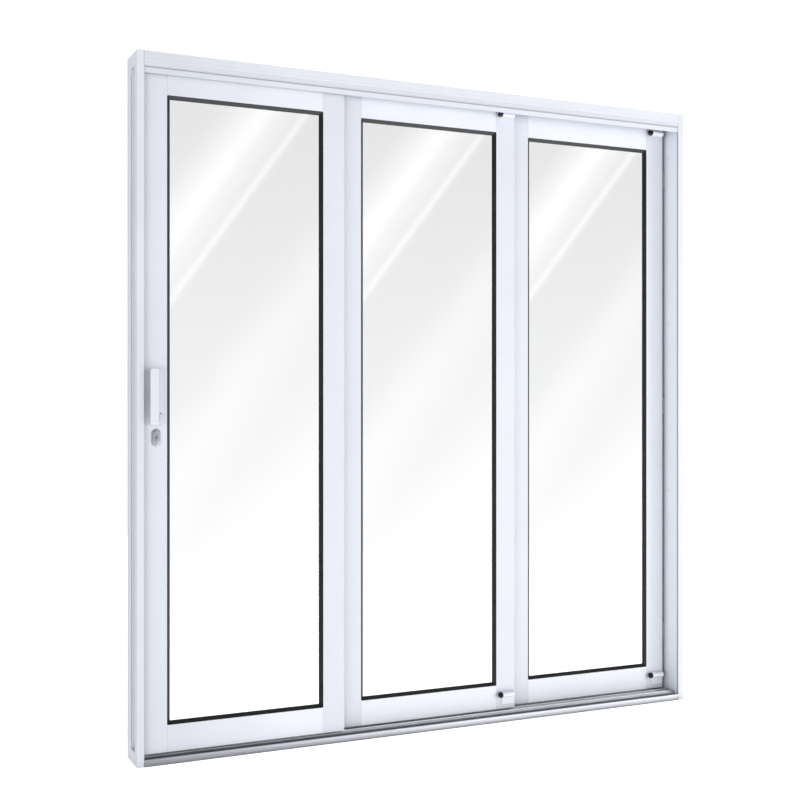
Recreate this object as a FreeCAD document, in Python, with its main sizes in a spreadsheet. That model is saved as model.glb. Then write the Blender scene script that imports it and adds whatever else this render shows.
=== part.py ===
"""Three-leaf sliding patio door on three tracks, in white powder-coated aluminium.

Millimetres, +Z up. X runs along the door to the right as seen from outside, and +Y runs from
the outside face inwards. The origin is at the middle of the sill's underside. The left leaf is
on the outer track, the middle leaf on the middle track, and the right leaf is fixed on the inner
track. The leaves stand closed.
"""
import FreeCAD, Part
import os
import re
import Sketcher

LEAVES = ["left", "middle", "right"]
FIXINGS = 4
SPACER_PLACES = ["0.1", "0.5", "0.9"]

# Driving dimensions
SIZES = {
    "frame_width": (1972, "outside of one jamb to outside of the other"),
    "frame_height": (2100, "underside of the sill to top of the head"),
    "frame_depth": (126, "outer face to inner face"),
    "jamb_width": (21, "jamb seen from the front"),
    "jamb_wall": (2, "wall of the jamb's two hollow boxes"),
    "jamb_web": (3.5, "web between the boxes, which the fixing screws go through"),
    "groove_start": (30, "outer face to the wall-side groove of the jamb"),
    "groove_width": (48, "wall-side groove of the jamb"),
    "block_height": (38, "blocks that close the groove at the corners"),
    "fixing_radius": (3.25, "hole for a fixing screw in the jamb's web"),
    "fixing_margin": (150, "end of the jamb to the nearest fixing hole"),
    "head_web": (3, "top wall of the head"),
    "fascia_height": (45, "face of the head"),
    "fascia_wall": (2.5, "walls of the fascia and of the lip below it"),
    "lip_setback": (5, "lip below the fascia, back from the face"),
    "lip_drop": (63, "top of the head to the lower edge of the lip"),
    "fin_thickness": (2.5, "fin in the head that guides a leaf"),
    "fin_drop": (44, "top of the head to the lower edge of a fin"),
    "sill_base": (4, "bottom wall of the sill"),
    "sill_lip_height": (21, "upstand at each face of the sill"),
    "sill_lip_thickness": (3, "the same upstand"),
    "deck_top": (26.5, "flat deck of the sill between its two channels"),
    "deck_wall": (2, "walls of the deck"),
    "deck_lead": (6.5, "edge of the deck to the nearest rail"),
    "rail_thickness": (3, "rail that the rollers run on"),
    "rail_top": (31, "top of the rails above the sill's underside"),
    "leaf_setback": (18, "frame's outer face to the left leaf's outer face"),
    "rear_setback": (25, "right leaf's inner face to the frame's inner face"),
    "leaf_gap": (5.5, "between the faces of two neighbouring leaves"),
    "leaf_bottom": (32, "lower edge of a leaf above the sill's underside"),
    "leaf_drop": (24, "top of the head to the upper edge of a leaf"),
    "leaf_overlap": (1, "uprights of two leaves over each other, seen from the front"),
    "closing_gap": (1.4, "left leaf's edge to the jamb when closed"),
    "spacer_length": (12.4, "fixed leaf's edge to the jamb"),
    "stile_width": (72, "upright of a leaf"),
    "bottom_rail_height": (80.4, "bottom rail of a leaf"),
    "top_rail_height": (97.2, "top rail of a leaf"),
    "leaf_wall": (2, "wall of the stiles and rails"),
    "glazing_depth": (14, "groove that holds the glass edge"),
    "roller_channel": (38, "open channel under a bottom rail"),
    "guide_channel": (25, "open channel on a top rail"),
    "notch_width": (13.5, "cut in the ends of a stile that passes fin or rail"),
    "notch_margin": (5.5, "notch beyond the fin or the rail"),
    "cut_margin": (1, "cutting solid beyond the surface it opens"),
    "edge_radius": (1.2, "long outer edges of the extrusions"),
    "glass_thickness": (5, "toughened glass"),
    "glass_edge_cover": (10, "glass and gasket held in the groove"),
    "gasket_sight": (9.7, "gasket seen around the glass"),
    "gasket_set": (0.6, "gasket below the leaf's face"),
    "interlock_width": (18, "interlock on the left edge of a leaf"),
    "interlock_wall": (1.8, "wall of the interlock"),
    "hook_reach": (3.5, "hook of the interlock out of the leaf's face"),
    "hook_thickness": (2.5, "hook of the interlock"),
    "hook_inset": (2, "interlock's edge to its hook"),
    "hook_gap": (1, "between two hooks that are engaged"),
    "roller_radius": (13, "roller over its flanges"),
    "roller_width": (8, "roller"),
    "tread_width": (4, "groove of the roller that the rail runs in"),
    "tread_depth": (1.6, "depth of that groove"),
    "roller_axle_radius": (2.5, "axle of the roller"),
    "running_gap": (0.3, "roller to rail"),
    "carriage_length": (70, "housing that carries a roller"),
    "carriage_gap": (1, "housing or setting block to the leaf's walls"),
    "carriage_skirt": (6, "housing above the rail"),
    "carriage_inset": (90, "upright to the middle of a carriage"),
    "roller_room": (2, "room in the housing round the roller"),
    "guide_length": (40, "guide block on the fin"),
    "guide_height": (20, "guide block"),
    "guide_slot": (4.5, "slot in the guide block"),
    "guide_slot_floor": (3, "guide block under its slot"),
    "setting_length": (50, "block under the fixed leaf"),
    "spacer_height": (60, "spacer between the fixed leaf and the jamb"),
    "spacer_width": (16, "the same spacer"),
    "barrel_radius": (8.5, "barrel of a leaf stop"),
    "barrel_stand": (11, "axis of the barrel out of the leaf's face"),
    "barrel_end": (9, "barrel's end to the edge of the leaf"),
    "bumper_radius": (9.5, "rubber bumper of a leaf stop"),
    "bumper_length": (12, "bumper beyond the barrel"),
    "bumper_dome": (4.5, "rounding of the bumper's nose"),
    "bumper_start": (5.2, "edge of the glass opening to the bumper's nose"),
    "plate_height": (34, "base plate of a stop, beyond the barrel's axis"),
    "plate_length": (46, "the same plate along the leaf"),
    "plate_thickness": (2.5, "the same plate"),
    "plate_inset": (4, "plate's end to the edge of the leaf"),
    "low_stop_height": (81, "axis of the bottom stop above the sill's underside"),
    "top_stop_drop": (36.2, "upper edge of the leaf to the axis of the top stop"),
    "handle_length": (165, "pull handle"),
    "handle_rise": (39.4, "axis of the lock to the lower end of the handle"),
    "handle_reach": (38, "handle out of the leaf's face"),
    "handle_wall": (4.5, "wall of the handle's section"),
    "grip_left": (13, "leaf's edge to the left edge of the grip"),
    "grip_right": (37.3, "leaf's edge to the right side of the handle's wall"),
    "flange_right": (60.3, "leaf's edge to the right edge of the handle's flange"),
    "handle_round": (2, "long edges of the handle"),
    "grip_corner": (7, "corners of the handle seen from the front"),
    "lock_inset": (38.2, "leaf's edge to the axis of the lock"),
    "lock_height": (964.6, "axis of the lock above the sill's underside"),
    "escutcheon_width": (26.5, "oblong plate round the lock"),
    "escutcheon_height": (51, "the same plate"),
    "escutcheon_thickness": (2.5, "the same plate"),
    "cylinder_radius": (8.5, "lock cylinder"),
    "cylinder_proud": (1.2, "cylinder out of its plate"),
    "cylinder_end": (5, "cylinder's inner end to the leaf's inner face"),
    "lock_play": (0.3, "round the cylinder and round the key plug"),
    "plug_radius": (5.2, "key plug"),
    "plug_end": (5, "key plug's inner end to the cylinder's"),
    "keyway_width": (2.2, "key slot"),
    "keyway_height": (7.4, "key slot"),
    "keyway_depth": (12, "key slot"),
    "case_length": (120, "lock case in the upright"),
    "case_width": (50, "lock case, from the leaf's edge"),
    "case_margin": (5, "lock case to the leaf's faces"),
    "bolt_depth": (9, "slot for the hook bolt behind the faceplate"),
    "faceplate_length": (170, "plate of the lock in the leaf's edge"),
    "faceplate_width": (16, "the same plate"),
    "bolt_slot_width": (7, "slot for the hook bolt"),
    "bolt_slot_length": (32, "slot for the hook bolt"),
    "keeper_length": (110, "keeper let into the jamb"),
    "keeper_width": (18, "keeper"),
    "keeper_thickness": (1.5, "keeper"),
    "pull_length": (110, "recess of the flush pull"),
    "pull_width": (28, "the same recess"),
    "pull_depth": (13, "the same recess"),
    "pull_wall": (1.2, "wall of the flush pull"),
    "pull_rim": (4, "rim of the flush pull round its recess"),
    "pull_proud": (0.5, "rim out of the leaf's inner face"),
}

# Values that follow from the driving dimensions
DERIVED = {
    "groove_end": "groove_start + groove_width",
    "groove_depth": "jamb_width - jamb_web",
    "clear_width": "frame_width - 2 * jamb_width",
    "fixing_pitch": "(frame_height - 2 * fixing_margin) / %d" % (FIXINGS - 1),
    "leaf_thickness": "(frame_depth - leaf_setback - rear_setback - 2 * leaf_gap) / 3",
    "track_pitch": "leaf_thickness + leaf_gap",
    "leaf_width": "(clear_width - closing_gap - spacer_length + 2 * leaf_overlap) / 3",
    "leaf_pitch": "leaf_width - leaf_overlap",
    "opening_width": "leaf_width - 2 * stile_width",
    "leaf_top": "frame_height - leaf_drop",
    "leaf_height": "leaf_top - leaf_bottom",
    "first_leaf": "jamb_width + closing_gap",
    "sight_bottom": "leaf_bottom + bottom_rail_height",
    "sight_top": "leaf_top - top_rail_height",
    "sight_height": "sight_top - sight_bottom",
    "pane_width": "opening_width + 2 * glass_edge_cover",
    "pane_height": "sight_height + 2 * glass_edge_cover",
    "glass_set": "(leaf_thickness - glass_thickness) / 2",
    "web_start": "stile_width - glazing_depth - leaf_wall",
    "hook_start": "-interlock_width + hook_inset",
    "rear_hook_start": "leaf_pitch + hook_start + hook_thickness + hook_gap",
    "fin_bottom": "frame_height - fin_drop",
    "notch_top_depth": "leaf_top - fin_bottom + notch_margin",
    "notch_bottom_depth": "max(rail_top - leaf_bottom + notch_margin; cut_margin)",
    "carriage_web": "leaf_bottom + roller_channel",
    "carriage_bottom": "rail_top + carriage_skirt",
    "carriage_width": "leaf_thickness - 2 * (leaf_wall + carriage_gap)",
    "axle_height": "rail_top + running_gap + roller_radius - tread_depth",
    "guide_floor": "leaf_top - guide_channel",
    "far_edge": "first_leaf + 2 * leaf_pitch + leaf_width",
    "barrel_length": "stile_width - barrel_end - bumper_start - bumper_length",
    "barrel_start": "leaf_width - stile_width + bumper_start + bumper_length",
    "top_stop_height": "leaf_top - top_stop_drop",
    "cylinder_depth": "leaf_thickness - cylinder_end",
    "plug_depth": "cylinder_depth - plug_end",
    "handle_foot": "lock_height + handle_rise",
    "handle_middle": "handle_foot + handle_length / 2",
}


doc = FreeCAD.newDocument("sliding_patio_door")
sheet = doc.addObject("Spreadsheet::Sheet", "Sizes")
for row, (word, (size, note)) in enumerate(SIZES.items(), start=1):
    sheet.set("A%d" % row, word.replace("_", " "))
    sheet.set("B%d" % row, str(size))
    sheet.setAlias("B%d" % row, word)
    sheet.set("C%d" % row, note)
doc.recompute()

nodes = []


def formula(text):
    """Spells a formula out in cells of the sheet."""
    def spell(match):
        word = match.group(0)
        if word in DERIVED:
            return "(" + formula(DERIVED[word]) + ")"
        if word in SIZES:
            return "Sizes." + word
        return word
    return re.sub(r"[a-z][a-z_]+", spell, str(text))


def value(text):
    return float(sheet.evalExpression(formula(text)))


def bind(thing, **sizes):
    """Ties properties of an object to formulas: Base_x stands for Placement.Base.x."""
    for name, text in sizes.items():
        path = "Placement.Base." + name[-1] if name.startswith("Base_") else name
        thing.setExpression(path, formula(text))


def node(thing, name):
    """Names a finished sub-part."""
    thing.Label = name
    nodes.append(thing)
    return thing


# Sketches, pads and plain solids

def new_body(name, base=("0", "0", "0")):
    """A body whose own origin lies at base, from the frame's lower left outer corner."""
    body = doc.addObject("PartDesign::Body", name)
    bind(body, **at_corner(*base))
    return body


def at_corner(x, y, z):
    return {"Base_x": "-frame_width / 2 + " + x, "Base_y": "-frame_depth / 2 + " + y, "Base_z": z}


def origin_plane(body, role):
    return [feature for feature in body.Origin.OriginFeatures if feature.Role == role][0]


def new_sketch(body, plane, name):
    sketch = body.newObject("Sketcher::SketchObject", name)
    sketch.AttachmentSupport = [(origin_plane(body, plane), "")]
    sketch.MapMode = "FlatFace"
    return sketch


def draw(sketch, corners):
    """Closes a polygon through corners, each held to the sketch's origin by two dimensions."""
    first = sketch.GeometryCount
    count = len(corners)
    points = [FreeCAD.Vector(value(across), value(up), 0) for across, up in corners]
    for number in range(count):
        sketch.addGeometry(Part.LineSegment(points[number], points[(number + 1) % count]), False)
    for number in range(count):
        following = first + (number + 1) % count
        sketch.addConstraint(Sketcher.Constraint("Coincident", first + number, 2, following, 1))
    for number, (across, up) in enumerate(corners):
        for kind, text, size in (("DistanceX", across, points[number].x),
                                 ("DistanceY", up, points[number].y)):
            rule = Sketcher.Constraint(kind, -1, 1, first + number, 1, size)
            index = sketch.addConstraint(rule)
            sketch.setExpression("Constraints[%d]" % index, formula(text))


def rectangle(left, low, right, high):
    return [(left, low), (right, low), (right, high), (left, high)]


def extrude(body, plane, length, *outlines):
    """Pads closed outlines, the first one the outside and the rest hollows."""
    sketch = new_sketch(body, plane, body.Name + "_section")
    for corners in outlines:
        draw(sketch, corners)
    pad = body.newObject("PartDesign::Pad", body.Name + "_pad")
    pad.Profile = sketch
    bind(pad, Length=length)
    sketch.Visibility = False
    doc.recompute()
    return pad


def round_edges(body, corners, radius="edge_radius"):
    """Rounds the edges whose both ends stand at one of corners, given in the body's own axes."""
    base = body.Tip
    picked = []
    for number, edge in enumerate(base.Shape.Edges, start=1):
        ends = [vertex.Point for vertex in edge.Vertexes]
        for spot in corners:
            gaps = [abs(end[axis] - value(text)) for axis, text in spot.items() for end in ends]
            if max(gaps) < 0.01:
                picked.append("Edge%d" % number)
                break
    fillet = body.newObject("PartDesign::Fillet", base.Name + "_round")
    fillet.Base = (base, picked)
    bind(fillet, Radius=radius)
    doc.recompute()


def box(name, base, size):
    """A box from base, both taken from the frame's lower left outer corner."""
    block = doc.addObject("Part::Box", name)
    bind(block, Length=size[0], Width=size[1], Height=size[2], **at_corner(*base))
    return block


def rod(name, base, radius, length, direction):
    """A cylinder that starts at base and runs along direction."""
    cylinder = doc.addObject("Part::Cylinder", name)
    cylinder.Placement.Rotation = FreeCAD.Rotation(FreeCAD.Vector(0, 0, 1), FreeCAD.Vector(*direction))
    bind(cylinder, Radius=radius, Height=length, **at_corner(*base))
    return cylinder


def cut(name, base, *tools):
    result = doc.addObject("Part::Cut", name)
    result.Base = base
    result.Tool = tools[0] if len(tools) == 1 else join(name + "_tools", *tools)
    return result


def join(name, *pieces):
    result = doc.addObject("Part::MultiFuse", name)
    result.Shapes = list(pieces)
    return result


def group(name, *pieces):
    """Like pieces that don't touch, kept together as one node."""
    result = doc.addObject("Part::Compound", name)
    result.Links = list(pieces)
    return result


# Where the leaves stand

def leaf_left(index):
    return "(first_leaf + %d * leaf_pitch)" % index


def leaf_face(index):
    return "(leaf_setback + %d * track_pitch)" % index


def leaf_middle(index):
    return "(leaf_setback + %d * track_pitch + leaf_thickness / 2)" % index


def leaf_back(index):
    return "(leaf_setback + %d * track_pitch + leaf_thickness)" % index


# Jambs: one extrusion with two boxes and a web, cut for fixing screws

def jamb(side):
    def across(text):
        return text if side == "left" else "frame_width - (%s)" % text

    name = side + "_jamb"
    body = new_body(name + "_extrusion")
    outside = [("0", "0"), ("jamb_width", "0"), ("jamb_width", "frame_depth"), ("0", "frame_depth"),
               ("0", "groove_end"), ("groove_depth", "groove_end"),
               ("groove_depth", "groove_start"), ("0", "groove_start")]
    front = rectangle("jamb_wall", "jamb_wall", "jamb_width - jamb_wall", "groove_start - jamb_wall")
    rear = rectangle("jamb_wall", "groove_end + jamb_wall", "jamb_width - jamb_wall",
                     "frame_depth - jamb_wall")
    outlines = [[(across(x), y) for x, y in corners] for corners in (outside, front, rear)]
    extrude(body, "XY_Plane", "frame_height", *outlines)
    corners = [{0: across(x), 1: y} for x, y in outside[:4]]
    round_edges(body, corners)
    holes = []
    for number in range(FIXINGS):
        holes.append(rod("%s_hole_%d" % (name, number + 1),
                         (across("groove_depth / 2"), "groove_start + groove_width / 2",
                          "fixing_margin + %d * fixing_pitch" % number),
                         "fixing_radius", "groove_depth",
                         (1, 0, 0) if side == "left" else (-1, 0, 0)))
    if side == "left":
        holes.append(box("keeper_pocket", ("jamb_width - keeper_thickness",
                                           leaf_middle(0) + " - keeper_width / 2",
                                           "lock_height - keeper_length / 2"),
                         ("keeper_thickness + jamb_wall", "keeper_width", "keeper_length")))
    node(cut(name, body, *holes), name)


def corner_blocks():
    blocks = []
    for side, left in (("left", "0"), ("right", "frame_width - groove_depth")):
        for level, low in (("low", "0"), ("top", "frame_height - block_height")):
            blocks.append(box("block_%s_%s" % (side, level), (left, "groove_start", low),
                              ("groove_depth", "groove_width", "block_height")))
    node(group("jamb_corner_blocks", *blocks), "jamb_corner_blocks")


# Head: face, lip and three guide fins in one extrusion

def head():
    body = new_body("head", ("jamb_width", "0", "0"))
    under = "frame_height - head_web"
    fascia_edge = "frame_height - fascia_height"
    lip_edge = "frame_height - lip_drop"
    corners = [("0", "frame_height"), ("0", fascia_edge), ("lip_setback", fascia_edge),
               ("lip_setback", lip_edge), ("lip_setback + fascia_wall", lip_edge),
               ("lip_setback + fascia_wall", fascia_edge + " + fascia_wall"),
               ("fascia_wall", fascia_edge + " + fascia_wall"), ("fascia_wall", under)]
    for index in range(len(LEAVES)):
        near = leaf_middle(index) + " - fin_thickness / 2"
        far = leaf_middle(index) + " + fin_thickness / 2"
        corners += [(near, under), (near, "fin_bottom"), (far, "fin_bottom"), (far, under)]
    rear = [("frame_depth - (%s)" % y, z) for y, z in corners[:8]]
    corners += rear[::-1]
    extrude(body, "YZ_Plane", "clear_width", corners)
    edges = [{1: y, 2: z} for y, z in (corners[0], corners[1], rear[0], rear[1])]
    round_edges(body, edges)
    node(body, "head")


# Sill: base, an upstand at each face and a hollow deck with three rails in one extrusion

def sill():
    body = new_body("sill", ("jamb_width", "0", "0"))
    rails = [(leaf_middle(index) + " - rail_thickness / 2", leaf_middle(index) + " + rail_thickness / 2")
             for index in range(len(LEAVES))]
    front = rails[0][0] + " - deck_lead"
    rear = rails[-1][1] + " + deck_lead"
    corners = [("0", "0"), ("0", "sill_lip_height"), ("sill_lip_thickness", "sill_lip_height"),
               ("sill_lip_thickness", "sill_base"), (front, "sill_base"), (front, "deck_top")]
    for near, far in rails:
        corners += [(near, "deck_top"), (near, "rail_top"), (far, "rail_top"), (far, "deck_top")]
    corners += [(rear, "deck_top"), (rear, "sill_base")]
    corners += [("frame_depth - (%s)" % y, z) for y, z in corners[3::-1]]
    sides = [front + " + deck_wall"] + [side for rail in rails for side in rail] + [rear + " - deck_wall"]
    cells = [rectangle(sides[number], "sill_base", sides[number + 1], "deck_top - deck_wall")
             for number in range(0, len(sides), 2)]
    extrude(body, "YZ_Plane", "clear_width", corners, *cells)
    edges = [{1: y, 2: "sill_lip_height"} for y in ("0", "sill_lip_thickness", "frame_depth",
                                                   "frame_depth - sill_lip_thickness")]
    edges += [{1: y, 2: z} for y, z in corners if z == "rail_top"]
    edges += [{1: front, 2: "deck_top"}, {1: rear, 2: "deck_top"}]
    round_edges(body, edges)
    node(body, "sill")


def lock_keeper():
    plate = box("keeper_plate", ("jamb_width - keeper_thickness",
                                 leaf_middle(0) + " - keeper_width / 2",
                                 "lock_height - keeper_length / 2"),
                ("keeper_thickness", "keeper_width", "keeper_length"))
    slot = box("keeper_slot", ("jamb_width - 2 * keeper_thickness",
                               leaf_middle(0) + " - bolt_slot_width / 2",
                               "lock_height - bolt_slot_length / 2"),
               ("3 * keeper_thickness", "bolt_slot_width", "bolt_slot_length"))
    node(cut("lock_keeper", plate, slot), "lock_keeper")


# Stiles: hollow uprights with a groove for the glass

def stile(index, side):
    """The left stile has its glazing groove on the right, and the right stile the other way."""
    def across(text):
        return text if side == "left" else "leaf_width - (%s)" % text

    name = "%s_leaf_%s_stile" % (LEAVES[index], side)
    hooked = side == "right" and index < 2
    body = new_body(name + "_extrusion", (leaf_left(index), leaf_face(index), "leaf_bottom"))
    outside = [("0", "0"), ("stile_width", "0"), ("stile_width", "leaf_wall"),
               ("web_start + leaf_wall", "leaf_wall"),
               ("web_start + leaf_wall", "leaf_thickness - leaf_wall"),
               ("stile_width", "leaf_thickness - leaf_wall"), ("stile_width", "leaf_thickness")]
    outside = [(across(x), y) for x, y in outside]
    if hooked:
        outside += [("rear_hook_start", "leaf_thickness"),
                    ("rear_hook_start", "leaf_thickness + hook_reach"),
                    ("rear_hook_start + hook_thickness", "leaf_thickness + hook_reach"),
                    ("rear_hook_start + hook_thickness", "leaf_thickness")]
    outside.append((across("0"), "leaf_thickness"))
    chamber = rectangle("leaf_wall", "leaf_wall", "web_start", "leaf_thickness - leaf_wall")
    chamber = [(across(x), y) for x, y in chamber]
    extrude(body, "XY_Plane", "leaf_height", outside, chamber)
    round_edges(body, [{0: across("0"), 1: "0"}, {0: across("0"), 1: "leaf_thickness"}])
    start = " - cut_margin" if side == "left" else " + leaf_width - stile_width - cut_margin"
    left = leaf_left(index) + start
    middle = leaf_middle(index) + " - notch_width / 2"
    cuts = [box(name + "_top_notch", (left, middle, "leaf_top - notch_top_depth"),
                ("stile_width + 2 * cut_margin", "notch_width", "notch_top_depth + cut_margin")),
            box(name + "_low_notch", (left, middle, "leaf_bottom - cut_margin"),
                ("stile_width + 2 * cut_margin", "notch_width", "notch_bottom_depth + cut_margin"))]
    if name == "left_leaf_left_stile":
        cuts += lock_cuts()
    node(cut(name, body, *cuts), name)


def lock_cuts():
    """Holes in the lock stile for the cylinder, the faceplate and the flush pull."""
    bore = rod("cylinder_hole",
               (leaf_left(0) + " + lock_inset", leaf_face(0) + " - cut_margin", "lock_height"),
               "cylinder_radius + lock_play", "leaf_wall + 2 * cut_margin", (0, 1, 0))
    edge = box("faceplate_hole",
               (leaf_left(0) + " - cut_margin", leaf_middle(0) + " - faceplate_width / 2",
                "lock_height - faceplate_length / 2"),
               ("leaf_wall + cut_margin", "faceplate_width", "faceplate_length"))
    rear = box("pull_hole", (leaf_left(0) + " + lock_inset - pull_width / 2 - pull_wall",
                             leaf_back(0) + " - leaf_wall - cut_margin",
                             "handle_middle - pull_length / 2 - pull_wall"),
               ("pull_width + 2 * pull_wall", "leaf_wall + 2 * cut_margin",
                "pull_length + 2 * pull_wall"))
    return [bore, edge, rear]


# Rails: hollow cross bars, open below for the rollers or above for the guide fin

def bottom_rail(index):
    name = LEAVES[index] + "_leaf_bottom_rail"
    body = new_body(name, (leaf_left(index) + " + stile_width", leaf_face(index), "leaf_bottom"))
    high = "bottom_rail_height"
    floor = "bottom_rail_height - glazing_depth"
    near = "leaf_wall"
    far = "leaf_thickness - leaf_wall"
    outside = [("0", "0"), (near, "0"), (near, "roller_channel"), (far, "roller_channel"),
               (far, "0"), ("leaf_thickness", "0"), ("leaf_thickness", high), (far, high),
               (far, floor), (near, floor), (near, high), ("0", high)]
    chamber = rectangle(near, "roller_channel + leaf_wall", far, floor + " - leaf_wall")
    extrude(body, "YZ_Plane", "opening_width", outside, chamber)
    node(body, name)


def top_rail(index):
    name = LEAVES[index] + "_leaf_top_rail"
    body = new_body(name, (leaf_left(index) + " + stile_width", leaf_face(index), "leaf_top"))
    low = "-top_rail_height"
    roof = "-top_rail_height + glazing_depth"
    near = "leaf_wall"
    far = "leaf_thickness - leaf_wall"
    outside = [("0", "0"), (near, "0"), (near, "-guide_channel"), (far, "-guide_channel"),
               (far, "0"), ("leaf_thickness", "0"), ("leaf_thickness", low), (far, low),
               (far, roof), (near, roof), (near, low), ("0", low)]
    chamber = rectangle(near, roof + " + leaf_wall", far, "-guide_channel - leaf_wall")
    extrude(body, "YZ_Plane", "opening_width", outside, chamber)
    node(body, name)


# Glass and its gaskets

def glass(index):
    name = LEAVES[index] + "_leaf_glass"
    node(box(name, (leaf_left(index) + " + stile_width - glass_edge_cover",
                    leaf_face(index) + " + glass_set", "sight_bottom - glass_edge_cover"),
             ("pane_width", "glass_thickness", "pane_height")), name)


def gasket(index):
    """Wedge gaskets round the glass, one outside and its mirror image inside."""
    name = LEAVES[index] + "_leaf_gasket"
    body = new_body(name, (leaf_left(index) + " + stile_width", leaf_middle(index), "sight_bottom"))
    body.AllowCompound = True
    reach = "glass_edge_cover"
    rim = rectangle("0", "0", "opening_width", "sight_height")
    held = rectangle("-" + reach, "-" + reach, "opening_width + " + reach, "sight_height + " + reach)
    seen = rectangle("gasket_sight", "gasket_sight", "opening_width - gasket_sight",
                     "sight_height - gasket_sight")
    front = rectangle("gasket_set", "gasket_set", "opening_width - gasket_set",
                      "sight_height - gasket_set")
    for part, outline, depth in (("_foot", held, "leaf_thickness / 2 - leaf_wall"),
                                 ("_nose", rim, "leaf_thickness / 2 - gasket_set")):
        section = new_sketch(body, "XZ_Plane", name + part + "_section")
        draw(section, outline)
        pad = body.newObject("PartDesign::Pad", name + part)
        pad.Profile = section
        bind(pad, Length=depth)
    doc.recompute()
    loft = body.newObject("PartDesign::SubtractiveLoft", name + "_slope")
    near = new_sketch(body, "XZ_Plane", name + "_glass_line")
    draw(near, seen)
    bind(near, **{"AttachmentOffset.Base.z": "glass_thickness / 2"})
    far = new_sketch(body, "XZ_Plane", name + "_face_line")
    draw(far, front)
    bind(far, **{"AttachmentOffset.Base.z": "leaf_thickness / 2 - gasket_set"})
    loft.Profile = near
    loft.Sections = [far]
    doc.recompute()
    pocket = body.newObject("PartDesign::Pocket", name + "_pane_room")
    room = new_sketch(body, "XZ_Plane", name + "_pane_section")
    draw(room, held)
    pocket.Profile = room
    pocket.Reversed = True
    bind(pocket, Length="glass_thickness / 2")
    doc.recompute()
    inner = body.newObject("PartDesign::Mirrored", name + "_inner")
    inner.TransformMode = "Whole shape"
    inner.MirrorPlane = (origin_plane(body, "XZ_Plane"), [""])
    body.Tip = inner
    doc.recompute()
    node(body, name)


# Interlock: hooked tube on the left edge of a leaf that another one covers

def interlock(index):
    name = LEAVES[index] + "_leaf_interlock"
    body = new_body(name + "_extrusion", (leaf_left(index), leaf_face(index), "leaf_bottom"))
    tip = "hook_start + hook_thickness"
    outside = [("-interlock_width", "0"), ("hook_start", "0"), ("hook_start", "-hook_reach"),
               (tip, "-hook_reach"), (tip, "0"), ("0", "0"), ("0", "leaf_thickness"),
               ("-interlock_width", "leaf_thickness")]
    inside = rectangle("-interlock_width + interlock_wall", "interlock_wall", "-interlock_wall",
                       "leaf_thickness - interlock_wall")
    extrude(body, "XY_Plane", "leaf_height", outside, inside)
    round_edges(body, [{0: "-interlock_width", 1: "leaf_thickness"}])
    left = leaf_left(index) + " - interlock_width - cut_margin"
    middle = leaf_middle(index) + " - notch_width / 2"
    cuts = [box(name + "_top_notch", (left, middle, "leaf_top - notch_top_depth"),
                ("interlock_width + 2 * cut_margin", "notch_width", "notch_top_depth + cut_margin")),
            box(name + "_low_notch", (left, middle, "leaf_bottom - cut_margin"),
                ("interlock_width + 2 * cut_margin", "notch_width", "notch_bottom_depth + cut_margin"))]
    node(cut(name, body, *cuts), name)


# What the leaves run on

def ends(index, inset):
    """Middles of two pieces, one near each upright."""
    left = leaf_left(index) + " + stile_width"
    return [left + " + " + inset, left + " + opening_width - " + inset]


def rollers(index):
    name = LEAVES[index] + "_leaf_rollers"
    carriages = []
    axle = "axle_height"
    for number, middle in enumerate(ends(index, "carriage_inset"), start=1):
        part = "%s_%d" % (name, number)
        track = leaf_middle(index)
        housing = box(part + "_housing", (middle + " - carriage_length / 2",
                                          track + " - carriage_width / 2", "carriage_bottom"),
                      ("carriage_length", "carriage_width", "carriage_web - carriage_bottom"))
        room = box(part + "_room", (middle + " - roller_radius - roller_room",
                                    track + " - (roller_width + roller_room) / 2",
                                    "carriage_bottom - cut_margin"),
                   ("2 * (roller_radius + roller_room)", "roller_width + roller_room",
                    "axle_height + roller_radius + roller_room - carriage_bottom + cut_margin"))
        fork = cut(part + "_fork", housing, room)
        flanges = []
        flange = "(roller_width - tread_width) / 2"
        for place, shift in (("outer", "-roller_width / 2"), ("inner", "tread_width / 2")):
            flanges.append(rod("%s_%s_flange" % (part, place), (middle, track + " + " + shift, axle),
                               "roller_radius", flange, (0, 1, 0)))
        tread = rod(part + "_tread", (middle, track + " - tread_width / 2", axle),
                    "roller_radius - tread_depth", "tread_width", (0, 1, 0))
        pin = rod(part + "_pin", (middle, track + " - carriage_width / 2", axle),
                  "roller_axle_radius", "carriage_width", (0, 1, 0))
        carriages.append(join(part, fork, tread, pin, *flanges))
    node(group(name, *carriages), name)


def guides(index):
    name = LEAVES[index] + "_leaf_guides"
    blocks = []
    track = leaf_middle(index)
    for number, middle in enumerate(ends(index, "guide_length / 2"), start=1):
        part = "%s_%d" % (name, number)
        block = box(part + "_block", (middle + " - guide_length / 2",
                                      leaf_face(index) + " + leaf_wall", "guide_floor"),
                    ("guide_length", "leaf_thickness - 2 * leaf_wall", "guide_height"))
        slot = box(part + "_slot", (middle + " - guide_length / 2 - cut_margin",
                                    track + " - guide_slot / 2", "guide_floor + guide_slot_floor"),
                   ("guide_length + 2 * cut_margin", "guide_slot", "guide_height"))
        blocks.append(cut(part, block, slot))
    node(group(name, *blocks), name)


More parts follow.
